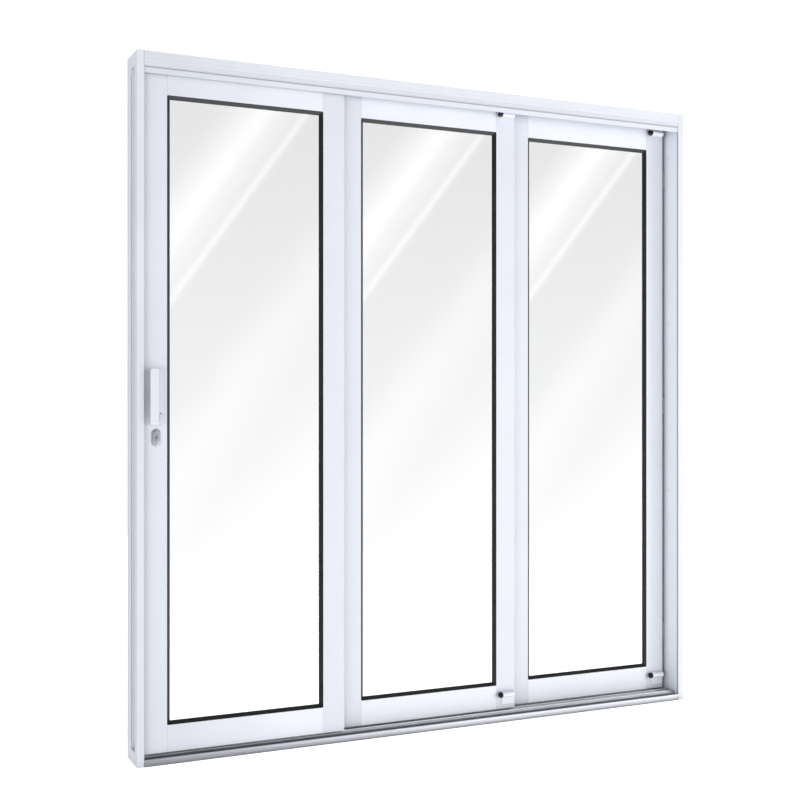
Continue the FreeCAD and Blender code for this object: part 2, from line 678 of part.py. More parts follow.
def fixed_leaf_supports():
    """Blocks that carry the fixed leaf on its rail, and spacers between it and the jamb."""
    blocks = []
    for number, middle in enumerate(ends(2, "carriage_inset"), start=1):
        blocks.append(box("setting_block_%d" % number,
                          (middle + " - setting_length / 2", leaf_middle(2) + " - carriage_width / 2",
                           "rail_top"),
                          ("setting_length", "carriage_width", "carriage_web - rail_top")))
    node(group("fixed_leaf_setting_blocks", *blocks), "fixed_leaf_setting_blocks")
    spacers = []
    for number, place in enumerate(SPACER_PLACES, start=1):
        spacers.append(box("spacer_%d" % number,
                           ("far_edge", leaf_middle(2) + " - spacer_width / 2",
                            "leaf_bottom + leaf_height * %s - spacer_height / 2" % place),
                           ("spacer_length", "spacer_width", "spacer_height")))
    node(group("fixed_leaf_spacers", *spacers), "fixed_leaf_spacers")


# Stops on the right stile, which the leaf in front runs against

def stops(index):
    brackets = []
    bumpers = []
    face = leaf_face(index)
    axis = face + " - barrel_stand"
    for level, height, reach in (("low", "low_stop_height", "-plate_height"),
                                 ("top", "top_stop_height", "-barrel_radius")):
        part = "%s_leaf_%s" % (LEAVES[index], level)
        start = leaf_left(index) + " + barrel_start"
        barrel = rod(part + "_barrel", (start, axis, height), "barrel_radius", "barrel_length", (1, 0, 0))
        stem = box(part + "_stem", (start, axis, height + " - barrel_radius"),
                   ("barrel_length", "barrel_stand", "2 * barrel_radius"))
        plate = box(part + "_plate", (leaf_left(index) + " + leaf_width - plate_inset - plate_length",
                                      face + " - plate_thickness", height + " + " + reach),
                    ("plate_length", "plate_thickness", "plate_height + barrel_radius"))
        brackets.append(join(part + "_bracket", barrel, stem, plate))
        bumper = rod(part + "_rubber", (leaf_left(index) + " + barrel_start - bumper_length", axis, height),
                     "bumper_radius", "bumper_length", (1, 0, 0))
        doc.recompute()
        nose = doc.addObject("Part::Fillet", part + "_bumper")
        nose.Base = bumper
        size = value("bumper_dome")
        nose.Edges = [(number, size, size) for number, edge in enumerate(bumper.Shape.Edges, start=1)
                      if edge.isClosed() and abs(edge.BoundBox.XMax - bumper.Shape.BoundBox.XMin) < 0.01]
        bumpers.append(nose)
    node(group(LEAVES[index] + "_leaf_stops", *brackets), LEAVES[index] + "_leaf_stops")
    node(group(LEAVES[index] + "_leaf_bumpers", *bumpers), LEAVES[index] + "_leaf_bumpers")


# Handle and lock of the left leaf

def pull_handle():
    body = new_body("pull_handle", (leaf_left(0), leaf_face(0), "handle_foot"))
    wall = "handle_wall"
    section = [("grip_right - %s" % wall, "0"), ("flange_right", "0"),
               ("flange_right", "-%s / 2" % wall), ("grip_right", "-%s" % wall),
               ("grip_right", "-handle_reach"), ("grip_left", "-handle_reach"),
               ("grip_left", "-handle_reach + %s" % wall),
               ("grip_right - %s" % wall, "-handle_reach + %s" % wall)]
    extrude(body, "XY_Plane", "handle_length", section)
    round_edges(body, [{0: side, 2: end} for side in ("grip_left", "flange_right")
                       for end in ("0", "handle_length")], "grip_corner")
    round_edges(body, [{1: "-handle_reach"}, {0: "grip_left", 1: "-handle_reach + handle_wall"}],
                "handle_round")
    node(body, "pull_handle")


def escutcheon():
    """Oblong plate with round ends and a bore for the cylinder."""
    middle = leaf_left(0) + " + lock_inset"
    under = leaf_face(0) + " - escutcheon_thickness"
    straight = "(escutcheon_height - escutcheon_width) / 2"
    plate = [box("escutcheon_middle", (middle + " - escutcheon_width / 2", under,
                                       "lock_height - " + straight),
                 ("escutcheon_width", "escutcheon_thickness", "escutcheon_height - escutcheon_width"))]
    for level, sign in (("low", "-"), ("top", "+")):
        plate.append(rod("escutcheon_%s_end" % level, (middle, under, "lock_height %s %s" % (sign, straight)),
                         "escutcheon_width / 2", "escutcheon_thickness", (0, 1, 0)))
    bore = rod("escutcheon_bore", (middle, under + " - cut_margin", "lock_height"),
               "cylinder_radius + lock_play", "escutcheon_thickness + 2 * cut_margin", (0, 1, 0))
    node(cut("lock_escutcheon", join("escutcheon_plate", *plate), bore), "lock_escutcheon")


def lock_cylinder():
    middle = leaf_left(0) + " + lock_inset"
    front = leaf_face(0) + " - escutcheon_thickness - cylinder_proud"
    proud = "(escutcheon_thickness + cylinder_proud)"
    barrel = rod("cylinder_barrel", (middle, front, "lock_height"), "cylinder_radius",
                 proud + " + cylinder_depth", (0, 1, 0))
    bore = rod("cylinder_bore", (middle, front + " - cut_margin", "lock_height"),
               "plug_radius + lock_play", proud + " + plug_depth + lock_play + cut_margin", (0, 1, 0))
    node(cut("lock_cylinder", barrel, bore), "lock_cylinder")
    plug = rod("plug_barrel", (middle, front, "lock_height"), "plug_radius", proud + " + plug_depth",
               (0, 1, 0))
    keyway = box("keyway", (middle + " - keyway_width / 2", front + " - cut_margin",
                            "lock_height - keyway_height / 2"),
                 ("keyway_width", "keyway_depth + cut_margin", "keyway_height"))
    node(cut("key_plug", plug, keyway), "key_plug")


def lock_case():
    """Case in the upright with a faceplate in its edge; the hook bolt is drawn back in it."""
    middle = leaf_middle(0)
    case = box("case_box", (leaf_left(0) + " + leaf_wall", leaf_face(0) + " + case_margin",
                            "lock_height - case_length / 2"),
               ("case_width - leaf_wall", "leaf_thickness - 2 * case_margin", "case_length"))
    plate = box("case_faceplate", (leaf_left(0), middle + " - faceplate_width / 2",
                                   "lock_height - faceplate_length / 2"),
                ("leaf_wall", "faceplate_width", "faceplate_length"))
    slot = box("case_slot", (leaf_left(0) + " - cut_margin", middle + " - bolt_slot_width / 2",
                             "lock_height - bolt_slot_length / 2"),
               ("leaf_wall + bolt_depth", "bolt_slot_width", "bolt_slot_length"))
    bore = rod("case_bore", (leaf_left(0) + " + lock_inset", leaf_face(0), "lock_height"),
               "cylinder_radius + lock_play", "leaf_thickness", (0, 1, 0))
    node(cut("lock_case", join("case_body", case, plate), slot, bore), "lock_case")


def flush_pull():
    """Recessed cup with a thin rim in the leaf's inner face."""
    left = leaf_left(0) + " + lock_inset - pull_width / 2"
    low = "handle_middle - pull_length / 2"
    back = leaf_back(0)
    cup = box("pull_cup", (left + " - pull_wall", back + " - pull_depth - pull_wall", low + " - pull_wall"),
              ("pull_width + 2 * pull_wall", "pull_depth + pull_wall", "pull_length + 2 * pull_wall"))
    rim = box("pull_rim_plate", (left + " - pull_rim", back, low + " - pull_rim"),
              ("pull_width + 2 * pull_rim", "pull_proud", "pull_length + 2 * pull_rim"))
    hollow = box("pull_hollow", (left, back + " - pull_depth", low),
                 ("pull_width", "pull_depth + pull_proud + cut_margin", "pull_length"))
    node(cut("inner_flush_pull", join("pull_body", cup, rim), hollow), "inner_flush_pull")


# Building the door

head()
sill()
jamb("left")
jamb("right")
corner_blocks()
lock_keeper()
for track in range(len(LEAVES)):
    stile(track, "left")
    stile(track, "right")
    top_rail(track)
    bottom_rail(track)
    glass(track)
    gasket(track)
    guides(track)
    if track > 0:
        interlock(track)
        stops(track)
    if track < 2:
        rollers(track)
fixed_leaf_supports()
pull_handle()
escutcheon()
lock_cylinder()
lock_case()
flush_pull()

# Checks and files
doc.recompute()
for thing in doc.Objects:
    if "Invalid" in thing.State or "Error" in thing.State:
        raise RuntimeError("%s failed: %s" % (thing.Label, thing.State))
os.makedirs("parts", exist_ok=True)
for thing in nodes:
    if thing.Shape.isNull() or not thing.Shape.isValid() or not thing.Shape.Solids:
        raise RuntimeError("%s has no valid solid" % thing.Label)
for thing in nodes:
    thing.Shape.exportStep("parts/%s.step" % thing.Label)
print("%d nodes written" % len(nodes))
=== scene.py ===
"""Looks of the three-leaf sliding patio door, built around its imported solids.

Metres, +X to the right from outside, +Y from the outside face inwards, +Z up. The sections follow
the door as it is put together: frame first, then the leaves, then handle, lock and screws.
"""

import math

import bmesh
import bpy
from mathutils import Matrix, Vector


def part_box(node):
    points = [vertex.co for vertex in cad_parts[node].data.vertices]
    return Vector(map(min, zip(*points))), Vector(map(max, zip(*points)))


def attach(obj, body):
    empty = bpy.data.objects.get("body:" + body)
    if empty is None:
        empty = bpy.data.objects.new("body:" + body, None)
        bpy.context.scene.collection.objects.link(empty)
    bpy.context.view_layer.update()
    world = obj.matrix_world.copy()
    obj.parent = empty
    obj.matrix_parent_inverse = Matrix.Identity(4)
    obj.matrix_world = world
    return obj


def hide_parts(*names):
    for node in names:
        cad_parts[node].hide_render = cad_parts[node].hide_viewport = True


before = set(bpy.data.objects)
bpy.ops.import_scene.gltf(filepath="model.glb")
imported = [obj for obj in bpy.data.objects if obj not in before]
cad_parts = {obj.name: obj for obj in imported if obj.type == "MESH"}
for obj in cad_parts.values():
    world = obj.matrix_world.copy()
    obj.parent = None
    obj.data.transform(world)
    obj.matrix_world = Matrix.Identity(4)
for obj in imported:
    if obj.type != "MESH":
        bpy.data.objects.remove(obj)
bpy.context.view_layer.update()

# Camera and studio: eye height a little above a metre, left of the door and level, with a pale floor
# and a white room. Two broad soft lights stand in front on the right and the left and a weaker one
# nearer the door. One behind it and one above it light the sides that the others miss.
EYE = Vector((-1.8268, -3.6657, 1.0757))
TURN = math.radians(25.111)
LENS = 55.785

camera = bpy.data.objects.new("camera", bpy.data.cameras.new("camera"))
camera.data.lens = LENS
camera.location = EYE
camera.rotation_euler = (math.pi / 2, 0, -TURN)
bpy.context.scene.collection.objects.link(camera)
bpy.context.scene.camera = camera


def area_light(name, place, target, size, watts):
    """A soft oblong light at place that looks at target."""
    lamp = bpy.data.lights.new(name, "AREA")
    lamp.shape = "RECTANGLE"
    lamp.size, lamp.size_y = size
    lamp.energy = watts
    light = bpy.data.objects.new(name, lamp)
    light.location = place
    light.rotation_euler = (Vector(target) - Vector(place)).to_track_quat("-Z", "Y").to_euler()
    bpy.context.scene.collection.objects.link(light)
    return light


bpy.context.scene.view_settings.view_transform = "Standard"
area_light("right_softbox", (6.5, -5.5, 1.2), (0.4, 0, 1.0), (2.4, 3.6), 120)
area_light("left_softbox", (-5.4, -4.6, 1.2), (-0.4, 0, 1.0), (3.4, 3.6), 68)
front_softbox = area_light("front_softbox", (2.6, -3.4, 0.8), (0.6, 0, 0.9), (2.6, 2.6), 38)
back_softbox = area_light("back_softbox", (0.4, 6, 1.3), (0, 0, 1.0), (3, 3), 200)
top_softbox = area_light("top_softbox", (0, 0, 5), (0, 0, 2.1), (3, 1.2), 60)
back_softbox.visible_camera = False
top_softbox.visible_camera = False
for light in (front_softbox, back_softbox, top_softbox):
    light.visible_glossy = False
    light.visible_transmission = False


def add_node(tree, kind, inputs=None, **settings):
    """Adds a node; inputs gives its sockets by name or number as values or as sockets to link."""
    node = tree.nodes.new(kind)
    for name, setting in settings.items():
        setattr(node, name, setting)
    for name, given in (inputs or {}).items():
        if isinstance(given, bpy.types.NodeSocket):
            tree.links.new(given, node.inputs[name])
        else:
            node.inputs[name].default_value = given
    return node


def result(tree, kind, inputs=None, **settings):
    """Adds a node and gives its first output."""
    return add_node(tree, kind, inputs, **settings).outputs[0]


def feed(node, **sockets):
    """Links sockets to a node's inputs, which are named with _ for spaces."""
    for word, socket in sockets.items():
        node.id_data.links.new(socket, node.inputs[word.replace("_", " ")])


def place_in(tree, kind="Object"):
    """The coordinates that a pattern follows."""
    return add_node(tree, "ShaderNodeTexCoord").outputs[kind]


def axes(tree, vector):
    """X, Y and Z of a vector."""
    return add_node(tree, "ShaderNodeSeparateXYZ", {0: vector}).outputs


def graded(tree, value, low, high, start, end, **settings):
    """Goes from start to end while the value goes from low to high, and no further."""
    return result(tree, "ShaderNodeMapRange", {0: value, 1: low, 2: high, 3: start, 4: end}, **settings)


def sums(tree, operation, *values, **settings):
    """One step of arithmetic with numbers or sockets."""
    return result(tree, "ShaderNodeMath", dict(enumerate(values)), operation=operation, **settings)


def between(tree, share, first, second):
    """A number between two others."""
    return result(tree, "ShaderNodeMix", {0: share, 2: first, 3: second})


def blended(tree, share, first, second):
    """A colour between two others."""
    return add_node(tree, "ShaderNodeMix", {0: share, 6: first, 7: second}, data_type="RGBA").outputs[2]


# The room's light comes mostly from in front, from low down and from the far left. Reflections see it
# brighter on the right and higher up, and through glass it is a little greyer than in open air.
room = bpy.data.worlds.new("white_room")
room.use_nodes = True
bpy.context.scene.world = room
tree = room.node_tree
tree.nodes.clear()
side, depth, height = axes(tree, place_in(tree, "Generated"))
front = graded(tree, depth, -0.35, 0.45, 1.0, 0.42)
below = graded(tree, height, -0.4, 0.4, 1.25, 0.3)
sideways = graded(tree, side, -0.95, -0.44, 2.45, 0.885)
lighting = sums(tree, "MULTIPLY", sums(tree, "MULTIPLY", front, below), sideways)
glint_side = graded(tree, side, 0.1, 0.65, 0.28, 1.0)
glint_height = graded(tree, height, -0.75, -0.15, 0.4, 1.1)
glints = sums(tree, "MULTIPLY", glint_side, glint_height)
through_glass = graded(tree, height, 0.0, 0.22, 0.963, 0.85)
rays = add_node(tree, "ShaderNodeLightPath").outputs
strength = between(tree, rays["Is Glossy Ray"], lighting, glints)
strength = between(tree, rays["Is Transmission Ray"], strength, through_glass)
strength = between(tree, rays["Is Camera Ray"], strength, 1.05)
shine = result(tree, "ShaderNodeBackground", {"Color": (1, 1, 1, 1), "Strength": strength})
add_node(tree, "ShaderNodeOutputWorld", {"Surface": shine})


def new_material(name, **sockets):
    """A material with a Principled shader; sockets gives its even values, with _ for spaces."""
    material = bpy.data.materials.new(name)
    material.use_nodes = True
    shader = material.node_tree.nodes["Principled BSDF"]
    for word, value in sockets.items():
        shader.inputs[word.replace("_", " ")].default_value = value
    return material, material.node_tree, shader


def mesh_object(name, vertices, faces, material=None):
    """An object at the origin with its place in its mesh."""
    mesh = bpy.data.meshes.new(name)
    mesh.from_pydata([tuple(vertex) for vertex in vertices], [], faces)
    piece = bpy.data.objects.new(name, mesh)
    bpy.context.scene.collection.objects.link(piece)
    if material:
        mesh.materials.append(material)
    return piece


# The floor glows where it is seen itself, and a little less through glass, where its glow rises close to
# the door: a painted brightening seen through the lower panes. In reflections it is dark close to the door
# and on the left, a painted shade that the metal under the door reflects.
FLOOR_GLOW = 0.95
FLOOR_REACH = 400

floor_paint, tree, shader = new_material("pale_floor", Emission_Color=(1, 1, 1, 1), Specular_IOR_Level=0)
spot = axes(tree, place_in(tree))
# Painted shade: the glow seen in reflections falls to nothing close to the door and is dimmer on the left.
ahead = graded(tree, spot["Y"], -0.14, -0.07, 2.35, 0.0, interpolation_type="SMOOTHSTEP")
gleam = sums(tree, "MULTIPLY", ahead, graded(tree, spot["X"], -0.95, 0.1, 0.26, 1.05))
rays = add_node(tree, "ShaderNodeLightPath").outputs
beyond = sums(tree, "SUBTRACT", rays["Is Glossy Ray"], rays["Is Transmission Ray"], use_clamp=True)
away = sums(tree, "ADD", sums(tree, "ABSOLUTE", spot["Y"]), 0.5)
paler = sums(tree, "ADD", sums(tree, "DIVIDE", 0.42, away), 0.96)
brightness = between(tree, rays["Is Transmission Ray"], between(tree, beyond, FLOOR_GLOW, gleam), paler)
paint = blended(tree, rays["Is Transmission Ray"], (0.6, 0.6, 0.6, 1), (0, 0, 0, 1))
feed(shader, Base_Color=paint, Emission_Strength=brightness)
floor = mesh_object("floor", [(-FLOOR_REACH, -FLOOR_REACH, 0), (FLOOR_REACH, -FLOOR_REACH, 0),
                              (FLOOR_REACH, FLOOR_REACH, 0), (-FLOOR_REACH, FLOOR_REACH, 0)],
                    [(0, 1, 2, 3)], floor_paint)
floor.visible_diffuse = False

# Striped reflector cards in front of the door, one for each leaf. They light nothing and only show as
# the soft diagonal streaks in the glass. The stripes are stops of one grey ramp, each a place across
# them and a brightness, fitted to the streaks. They lean and shift a little from card to card.
CARD_PLANE = -4.4
CARD_GLOW = 4.9
CARD_CENTRE = 0.527
STRIPE_SLANT = 0.353
STRIPE_LEANS = {"left": (0.025, 0.0065), "middle": (0.0, 0.0), "right": (-0.017, -0.0057)}
STRIPE_START, STRIPE_SPAN = -0.2, 1.4
STRIPES = [(-0.17, 0.04), (-0.1, 0.03), (-0.06, 0.095), (-0.036, 0.3), (0, 0.645), (0.018, 0.865),
           (0.036, 1), (0.05, 1), (0.063, 0.76), (0.08, 0.54), (0.095, 0.47), (0.112, 0.3), (0.124, 0.31),
           (0.131, 0.55), (0.137, 0.74), (0.142, 0.57), (0.148, 0.18), (0.156, 0.04), (0.17, 0),
           (0.3, 0.005), (0.33, 0.07), (0.36, 0.195), (0.39, 0.315), (0.42, 0.395), (0.455, 0.35),
           (0.5, 0.255), (0.555, 0.14), (0.6, 0.18), (0.64, 0.245), (0.7, 0.365), (0.8, 0.6), (1.15, 0.9)]

card_paint = bpy.data.materials.new("striped_card")
card_paint.use_nodes = True
tree = card_paint.node_tree
tree.nodes.clear()
spot = axes(tree, place_in(tree, "UV"))
slant = sums(tree, "MULTIPLY_ADD", spot["X"], STRIPE_SLANT, -CARD_CENTRE * STRIPE_SLANT - STRIPE_START)
along = sums(tree, "DIVIDE", sums(tree, "ADD", spot["Y"], slant), STRIPE_SPAN)
stripes = add_node(tree, "ShaderNodeValToRGB", {"Fac": along})
stops = stripes.color_ramp.elements
while len(stops) < len(STRIPES):
    stops.new(0.5)
for stop, (start, grey) in zip(stops, STRIPES):
    stop.position = (start - STRIPE_START) / STRIPE_SPAN
    stop.color = (grey, grey, grey, 1)
glow = result(tree, "ShaderNodeEmission", {"Color": stripes.outputs["Color"], "Strength": CARD_GLOW})
add_node(tree, "ShaderNodeOutputMaterial", {"Surface": glow})

for leaf, (lean, shift) in STRIPE_LEANS.items():
    low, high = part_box(leaf + "_leaf_glass")
    mirrored = Vector((EYE.x, 2 * low.y - EYE.y, EYE.z))
    spread = (CARD_PLANE - mirrored.y) / (low.y - mirrored.y)
    corners = []
    for x, z in ((low.x, low.z), (high.x, low.z), (high.x, high.z), (low.x, high.z)):
        corners.append(mirrored + (Vector((x, low.y, z)) - mirrored) * spread)
    card = mesh_object(leaf + "_reflector_card", corners, [(0, 3, 2, 1)], card_paint)
    shown = card.data.uv_layers.new(name="card")
    for corner, (across, down) in zip(shown.data, ((0, 1), (0, 0), (1, 0), (1, 1))):
        corner.uv = (across, down + lean * (across - CARD_CENTRE) - shift)
    card.visible_camera = False
    card.visible_diffuse = False
    card.visible_transmission = False
    card.visible_shadow = False

# Sill: one natural anodised extrusion with a lip at each face, and three low rails on the flat deck
# between them. Anodising keeps the fine lines of the die, and a little dust lies in its channels.


def shader_group(name, inputs, outputs):
    """A node group with inputs as (name, kind, value) and outputs as (name, kind)."""
    group = bpy.data.node_groups.new(name, "ShaderNodeTree")
    for word, kind, start in inputs:
        socket = group.interface.new_socket(word, in_out="INPUT", socket_type="NodeSocket" + kind)
        socket.default_value = start
    for word, kind in outputs:
        group.interface.new_socket(word, in_out="OUTPUT", socket_type="NodeSocket" + kind)
    return group, group.nodes.new("NodeGroupInput").outputs, group.nodes.new("NodeGroupOutput")


def use_group(tree, group, **inputs):
    """Places a node group and gives its outputs."""
    node = tree.nodes.new("ShaderNodeGroup")
    node.node_tree = group
    for name, given in inputs.items():
        if isinstance(given, bpy.types.NodeSocket):
            tree.links.new(given, node.inputs[name])
        else:
            node.inputs[name].default_value = given
    return node.outputs


def noise(tree, vector, scale, **inputs):
    """Cloudy noise; inputs gives its detail, roughness and distortion."""
    return add_node(tree, "ShaderNodeTexNoise", {"Vector": vector, "Scale": scale, **inputs}).outputs["Fac"]


# Fine lines that the die leaves along an extrusion, as height and as a change of roughness
die_lines, taken, given = shader_group("die_lines", [
    ("Along", "Vector", (1.0, 1.0, 1.0)), ("Lines", "Float", 400.0), ("Roughness", "Float", 0.4),
    ("Variation", "Float", 0.08)], [("Height", "Float"), ("Roughness", "Float")])
stretched = result(die_lines, "ShaderNodeVectorMath", {0: place_in(die_lines), 1: taken["Along"]},
                   operation="MULTIPLY")
lines = noise(die_lines, stretched, taken["Lines"], Detail=3.0, Roughness=0.6)
swing = graded(die_lines, lines, 0.3, 0.7, -1.0, 1.0)
change = sums(die_lines, "MULTIPLY_ADD", swing, taken["Variation"], taken["Roughness"])
feed(given, Height=lines, Roughness=change)

# Thin dust on faces that look up, mixed into a colour
dust, taken, given = shader_group("dust", [
    ("Color", "Color", (0.8, 0.8, 0.8, 1)), ("Dust Color", "Color", (0.42, 0.41, 0.39, 1)),
    ("Amount", "Float", 0.2), ("Patches", "Float", 9.0)], [("Color", "Color")])
normal = add_node(dust, "ShaderNodeNewGeometry").outputs["True Normal"]
facing_up = graded(dust, axes(dust, normal)["Z"], 0.5, 1.0, 0.0, 1.0)
patches = noise(dust, place_in(dust), taken["Patches"], Detail=6.0, Roughness=0.7)
cover = graded(dust, patches, 0.35, 0.75, 0.3, 1.0)
mask = sums(dust, "MULTIPLY", sums(dust, "MULTIPLY", facing_up, cover), taken["Amount"])
feed(given, Color=blended(dust, mask, taken["Color"], taken["Dust Color"]))

# Edges rounded by a given radius, as a normal and as a mask of the edges themselves
soft_edges, taken, given = shader_group("soft_edges", [("Radius", "Float", 0.0006)],
                                        [("Normal", "Vector"), ("Mask", "Float")])
rounded = result(soft_edges, "ShaderNodeBevel", {"Radius": taken["Radius"]}, samples=4)
flat = add_node(soft_edges, "ShaderNodeNewGeometry").outputs["Normal"]
turned_by = add_node(soft_edges, "ShaderNodeVectorMath", {0: rounded, 1: flat}, operation="DOT_PRODUCT")
feed(given, Normal=rounded, Mask=graded(soft_edges, turned_by.outputs["Value"], 0.99, 0.85, 0.0, 1.0))


def bumped(shader, height, distance, edges=None):
    """Relief of a surface, over rounded edges where edges gives their radius or their normal."""
    tree = shader.id_data
    bump = add_node(tree, "ShaderNodeBump", {"Height": height, "Distance": distance})
    if isinstance(edges, float):
        edges = use_group(tree, soft_edges, Radius=edges)["Normal"]
    if edges:
        feed(bump, Normal=edges)
    feed(shader, Normal=bump.outputs["Normal"])


def lined_metal(name, colour, dust_and_painted_shade, patches, relief, edge, **lines):
    """Bare metal with fine lines, a little dust and rounded edges; lines goes to the group of lines."""
    material, tree, shader = new_material(name, Metallic=1.0)
    lined = use_group(tree, die_lines, **lines)
    dusty = use_group(tree, dust, Color=colour, Amount=dust_and_painted_shade, Patches=patches)
    feed(shader, Base_Color=dusty["Color"], Roughness=lined["Roughness"])
    bumped(shader, lined["Height"], relief, edge)
    return material


def dress(material, *names):
    """Gives CAD nodes their finish."""
    for name in names:
        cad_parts[name].material_slots[0].material = material


anodised = lined_metal("anodised_aluminium", (0.49, 0.5, 0.535, 1), dust_and_painted_shade=0.35, patches=14.0,
                       relief=0.00006, edge=0.004, Along=(0.004, 1.0, 1.0), Lines=900.0, Roughness=0.36,
                       Variation=0.07)
dress(anodised, "sill")

# Jambs and head: white powder-coated extrusions. The coat is a few hundredths of a millimetre of
# baked polyester, a little wavy like orange peel, and it thins over the long edges.
powder_coat, taken, given = shader_group("powder_coat", [
    ("Color", "Color", (0.8, 0.8, 0.8, 1)), ("Shade", "Float", 0.02), ("Peel", "Float", 850.0),
    ("Roughness", "Float", 0.4)], [("Color", "Color"), ("Roughness", "Float"), ("Height", "Float")])
place = place_in(powder_coat)
peel = noise(powder_coat, place, taken["Peel"], Detail=2.0)
film = noise(powder_coat, place, 5.0, Detail=4.0, Roughness=0.6)
lighter = graded(powder_coat, film, 0.3, 0.7, -1.0, 1.0)
factor = sums(powder_coat, "MULTIPLY_ADD", lighter, taken["Shade"], 1.0)
coloured = result(powder_coat, "ShaderNodeVectorMath", {0: taken["Color"], "Scale": factor},
                  operation="SCALE")
rough = sums(powder_coat, "MULTIPLY_ADD", lighter, 0.03, taken["Roughness"])
feed(given, Color=coloured, Roughness=rough, Height=peel)

# Painted shade: a darker colour in the creases and corners between profiles, where nearby faces close the
# surface in and shade falls
painted_crease_shade, taken, given = shader_group("painted_crease_shade", [
    ("Color", "Color", (0.8, 0.8, 0.8, 1)), ("Reach", "Float", 0.02), ("Amount", "Float", 0.3)],
    [("Color", "Color")])
corner = add_node(painted_crease_shade, "ShaderNodeAmbientOcclusion", {"Distance": taken["Reach"]}, samples=6)
painted_shade_mask = graded(painted_crease_shade, corner.outputs["AO"], 0.95, 0.35, 0.0, 1.0)
dust_and_painted_shade = sums(painted_crease_shade, "MULTIPLY", painted_shade_mask, taken["Amount"])
feed(given, Color=blended(painted_crease_shade, dust_and_painted_shade, taken["Color"], (0.34, 0.355, 0.4, 1)))

FADE_START, FADE_END = -0.89, -0.5
THIN_COAT = (0.56, 0.58, 0.63, 1)
EDGE_WEAR = 0.35


def coat(name, colour, roughness=0.42, painted_shade_from=None, dust_and_painted_shade=0.4):
    """White powder coat of one run of profiles, thinner and a little darker along its edges.

    A colour given for the left end paints the coat darker there, fading out along the bar: a painted shade
    of the light that falls off to the left. The coat is also painted darker in creases and corners, a
    painted shade.
    """
    material, tree, shader = new_material(name, IOR=1.5)
    # Painted shade: darker towards the left end of the bar.
    if painted_shade_from:
        along = graded(tree, axes(tree, place_in(tree))["X"], FADE_START, FADE_END, 0.0, 1.0)
        colour = blended(tree, along, painted_shade_from, colour)
    coated = use_group(tree, powder_coat, Color=colour, Roughness=roughness)
    dusty = use_group(tree, dust, Color=coated["Color"], Amount=0.12)
    edge = use_group(tree, soft_edges, Radius=0.0006)
    thin = sums(tree, "MULTIPLY", edge["Mask"], EDGE_WEAR)
    seen = blended(tree, thin, dusty["Color"], THIN_COAT)
    # Painted shade in creases and corners.
    shaded_in_creases = use_group(tree, painted_crease_shade, Color=seen, Reach=0.025, Amount=dust_and_painted_shade)
    feed(shader, Base_Color=shaded_in_creases["Color"], Roughness=coated["Roughness"])
    bumped(shader, coated["Height"], distance=0.00004, edges=edge["Normal"])
    return material


# Frame and head are painted darker in their creases, a painted shade; the head is also painted darker
# towards its left end, a painted shade.
frame_white = coat("frame_white", (0.765, 0.79, 0.863, 1), dust_and_painted_shade=0.3)
dress(frame_white, "left_jamb", "right_jamb", "jamb_corner_blocks")
head_white = coat("head_white", (0.785, 0.81, 0.885, 1), painted_shade_from=(0.71, 0.735, 0.81, 1), dust_and_painted_shade=0.3)
dress(head_white, "head")

# Joints of the frame: the head and the sill are cut square and screwed between the jambs, which leaves a
# hairline of shadow at each butt joint. Thin strips also paint shade: a painted shadow line under the lower
# edge of the head's face, with painted soft shades beside it and a greyer band above them that is painted
# shade, and painted shadow lines along the jambs' inner faces, with a painted soft shade, and in their
# grooves.


def shape_tree(name, sizes):
    """A geometry tree; sizes are its named inputs as (name, kind, value)."""
    tree = bpy.data.node_groups.new(name, "GeometryNodeTree")
    tree.interface.new_socket("Geometry", in_out="INPUT", socket_type="NodeSocketGeometry")
    for word, kind, start in sizes:
        socket = tree.interface.new_socket(word, in_out="INPUT", socket_type="NodeSocket" + kind)
        socket.default_value = start
    tree.interface.new_socket("Material", in_out="INPUT", socket_type="NodeSocketMaterial")
    tree.interface.new_socket("Geometry", in_out="OUTPUT", socket_type="NodeSocketGeometry")
    return tree, tree.nodes.new("NodeGroupInput").outputs


def end_shape(tree, taken, shape):
    """Ends a tree in real mesh of one material."""
    real = result(tree, "GeometryNodeRealizeInstances", {0: shape})
    painted = result(tree, "GeometryNodeSetMaterial", {0: real, "Material": taken["Material"]})
    feed(tree.nodes.new("NodeGroupOutput"), Geometry=painted)


def named_vector(tree, name):
    """A vector that the points carry."""
    return result(tree, "GeometryNodeInputNamedAttribute", {"Name": name}, data_type="FLOAT_VECTOR")


def point_set(name, points, **vectors):
    """Loose points for a geometry tree, with a vector attribute for each further list."""
    piece = mesh_object(name, points, [])
    for word, values in vectors.items():
        attribute = piece.data.attributes.new(word, "FLOAT_VECTOR", "POINT")
        for entry, value in zip(attribute.data, values):
            entry.vector = value
    return piece


def grow(piece, tree, material, smooth=False, **sizes):
    """Runs a geometry tree on a piece and keeps the result as its plain mesh."""
    modifier = piece.modifiers.new("shape", "NODES")
    modifier.node_group = tree
    sizes["Material"] = material
    for item in tree.interface.items_tree:
        if item.in_out == "INPUT" and item.name in sizes:
            modifier[item.identifier] = sizes[item.name]
    mesh = bpy.data.meshes.new_from_object(piece.evaluated_get(bpy.context.evaluated_depsgraph_get()))
    piece.modifiers.remove(modifier)
    piece.data = mesh
    if smooth:
        mesh.shade_smooth()
        mesh.set_sharp_from_angle(angle=math.radians(35))
    return piece


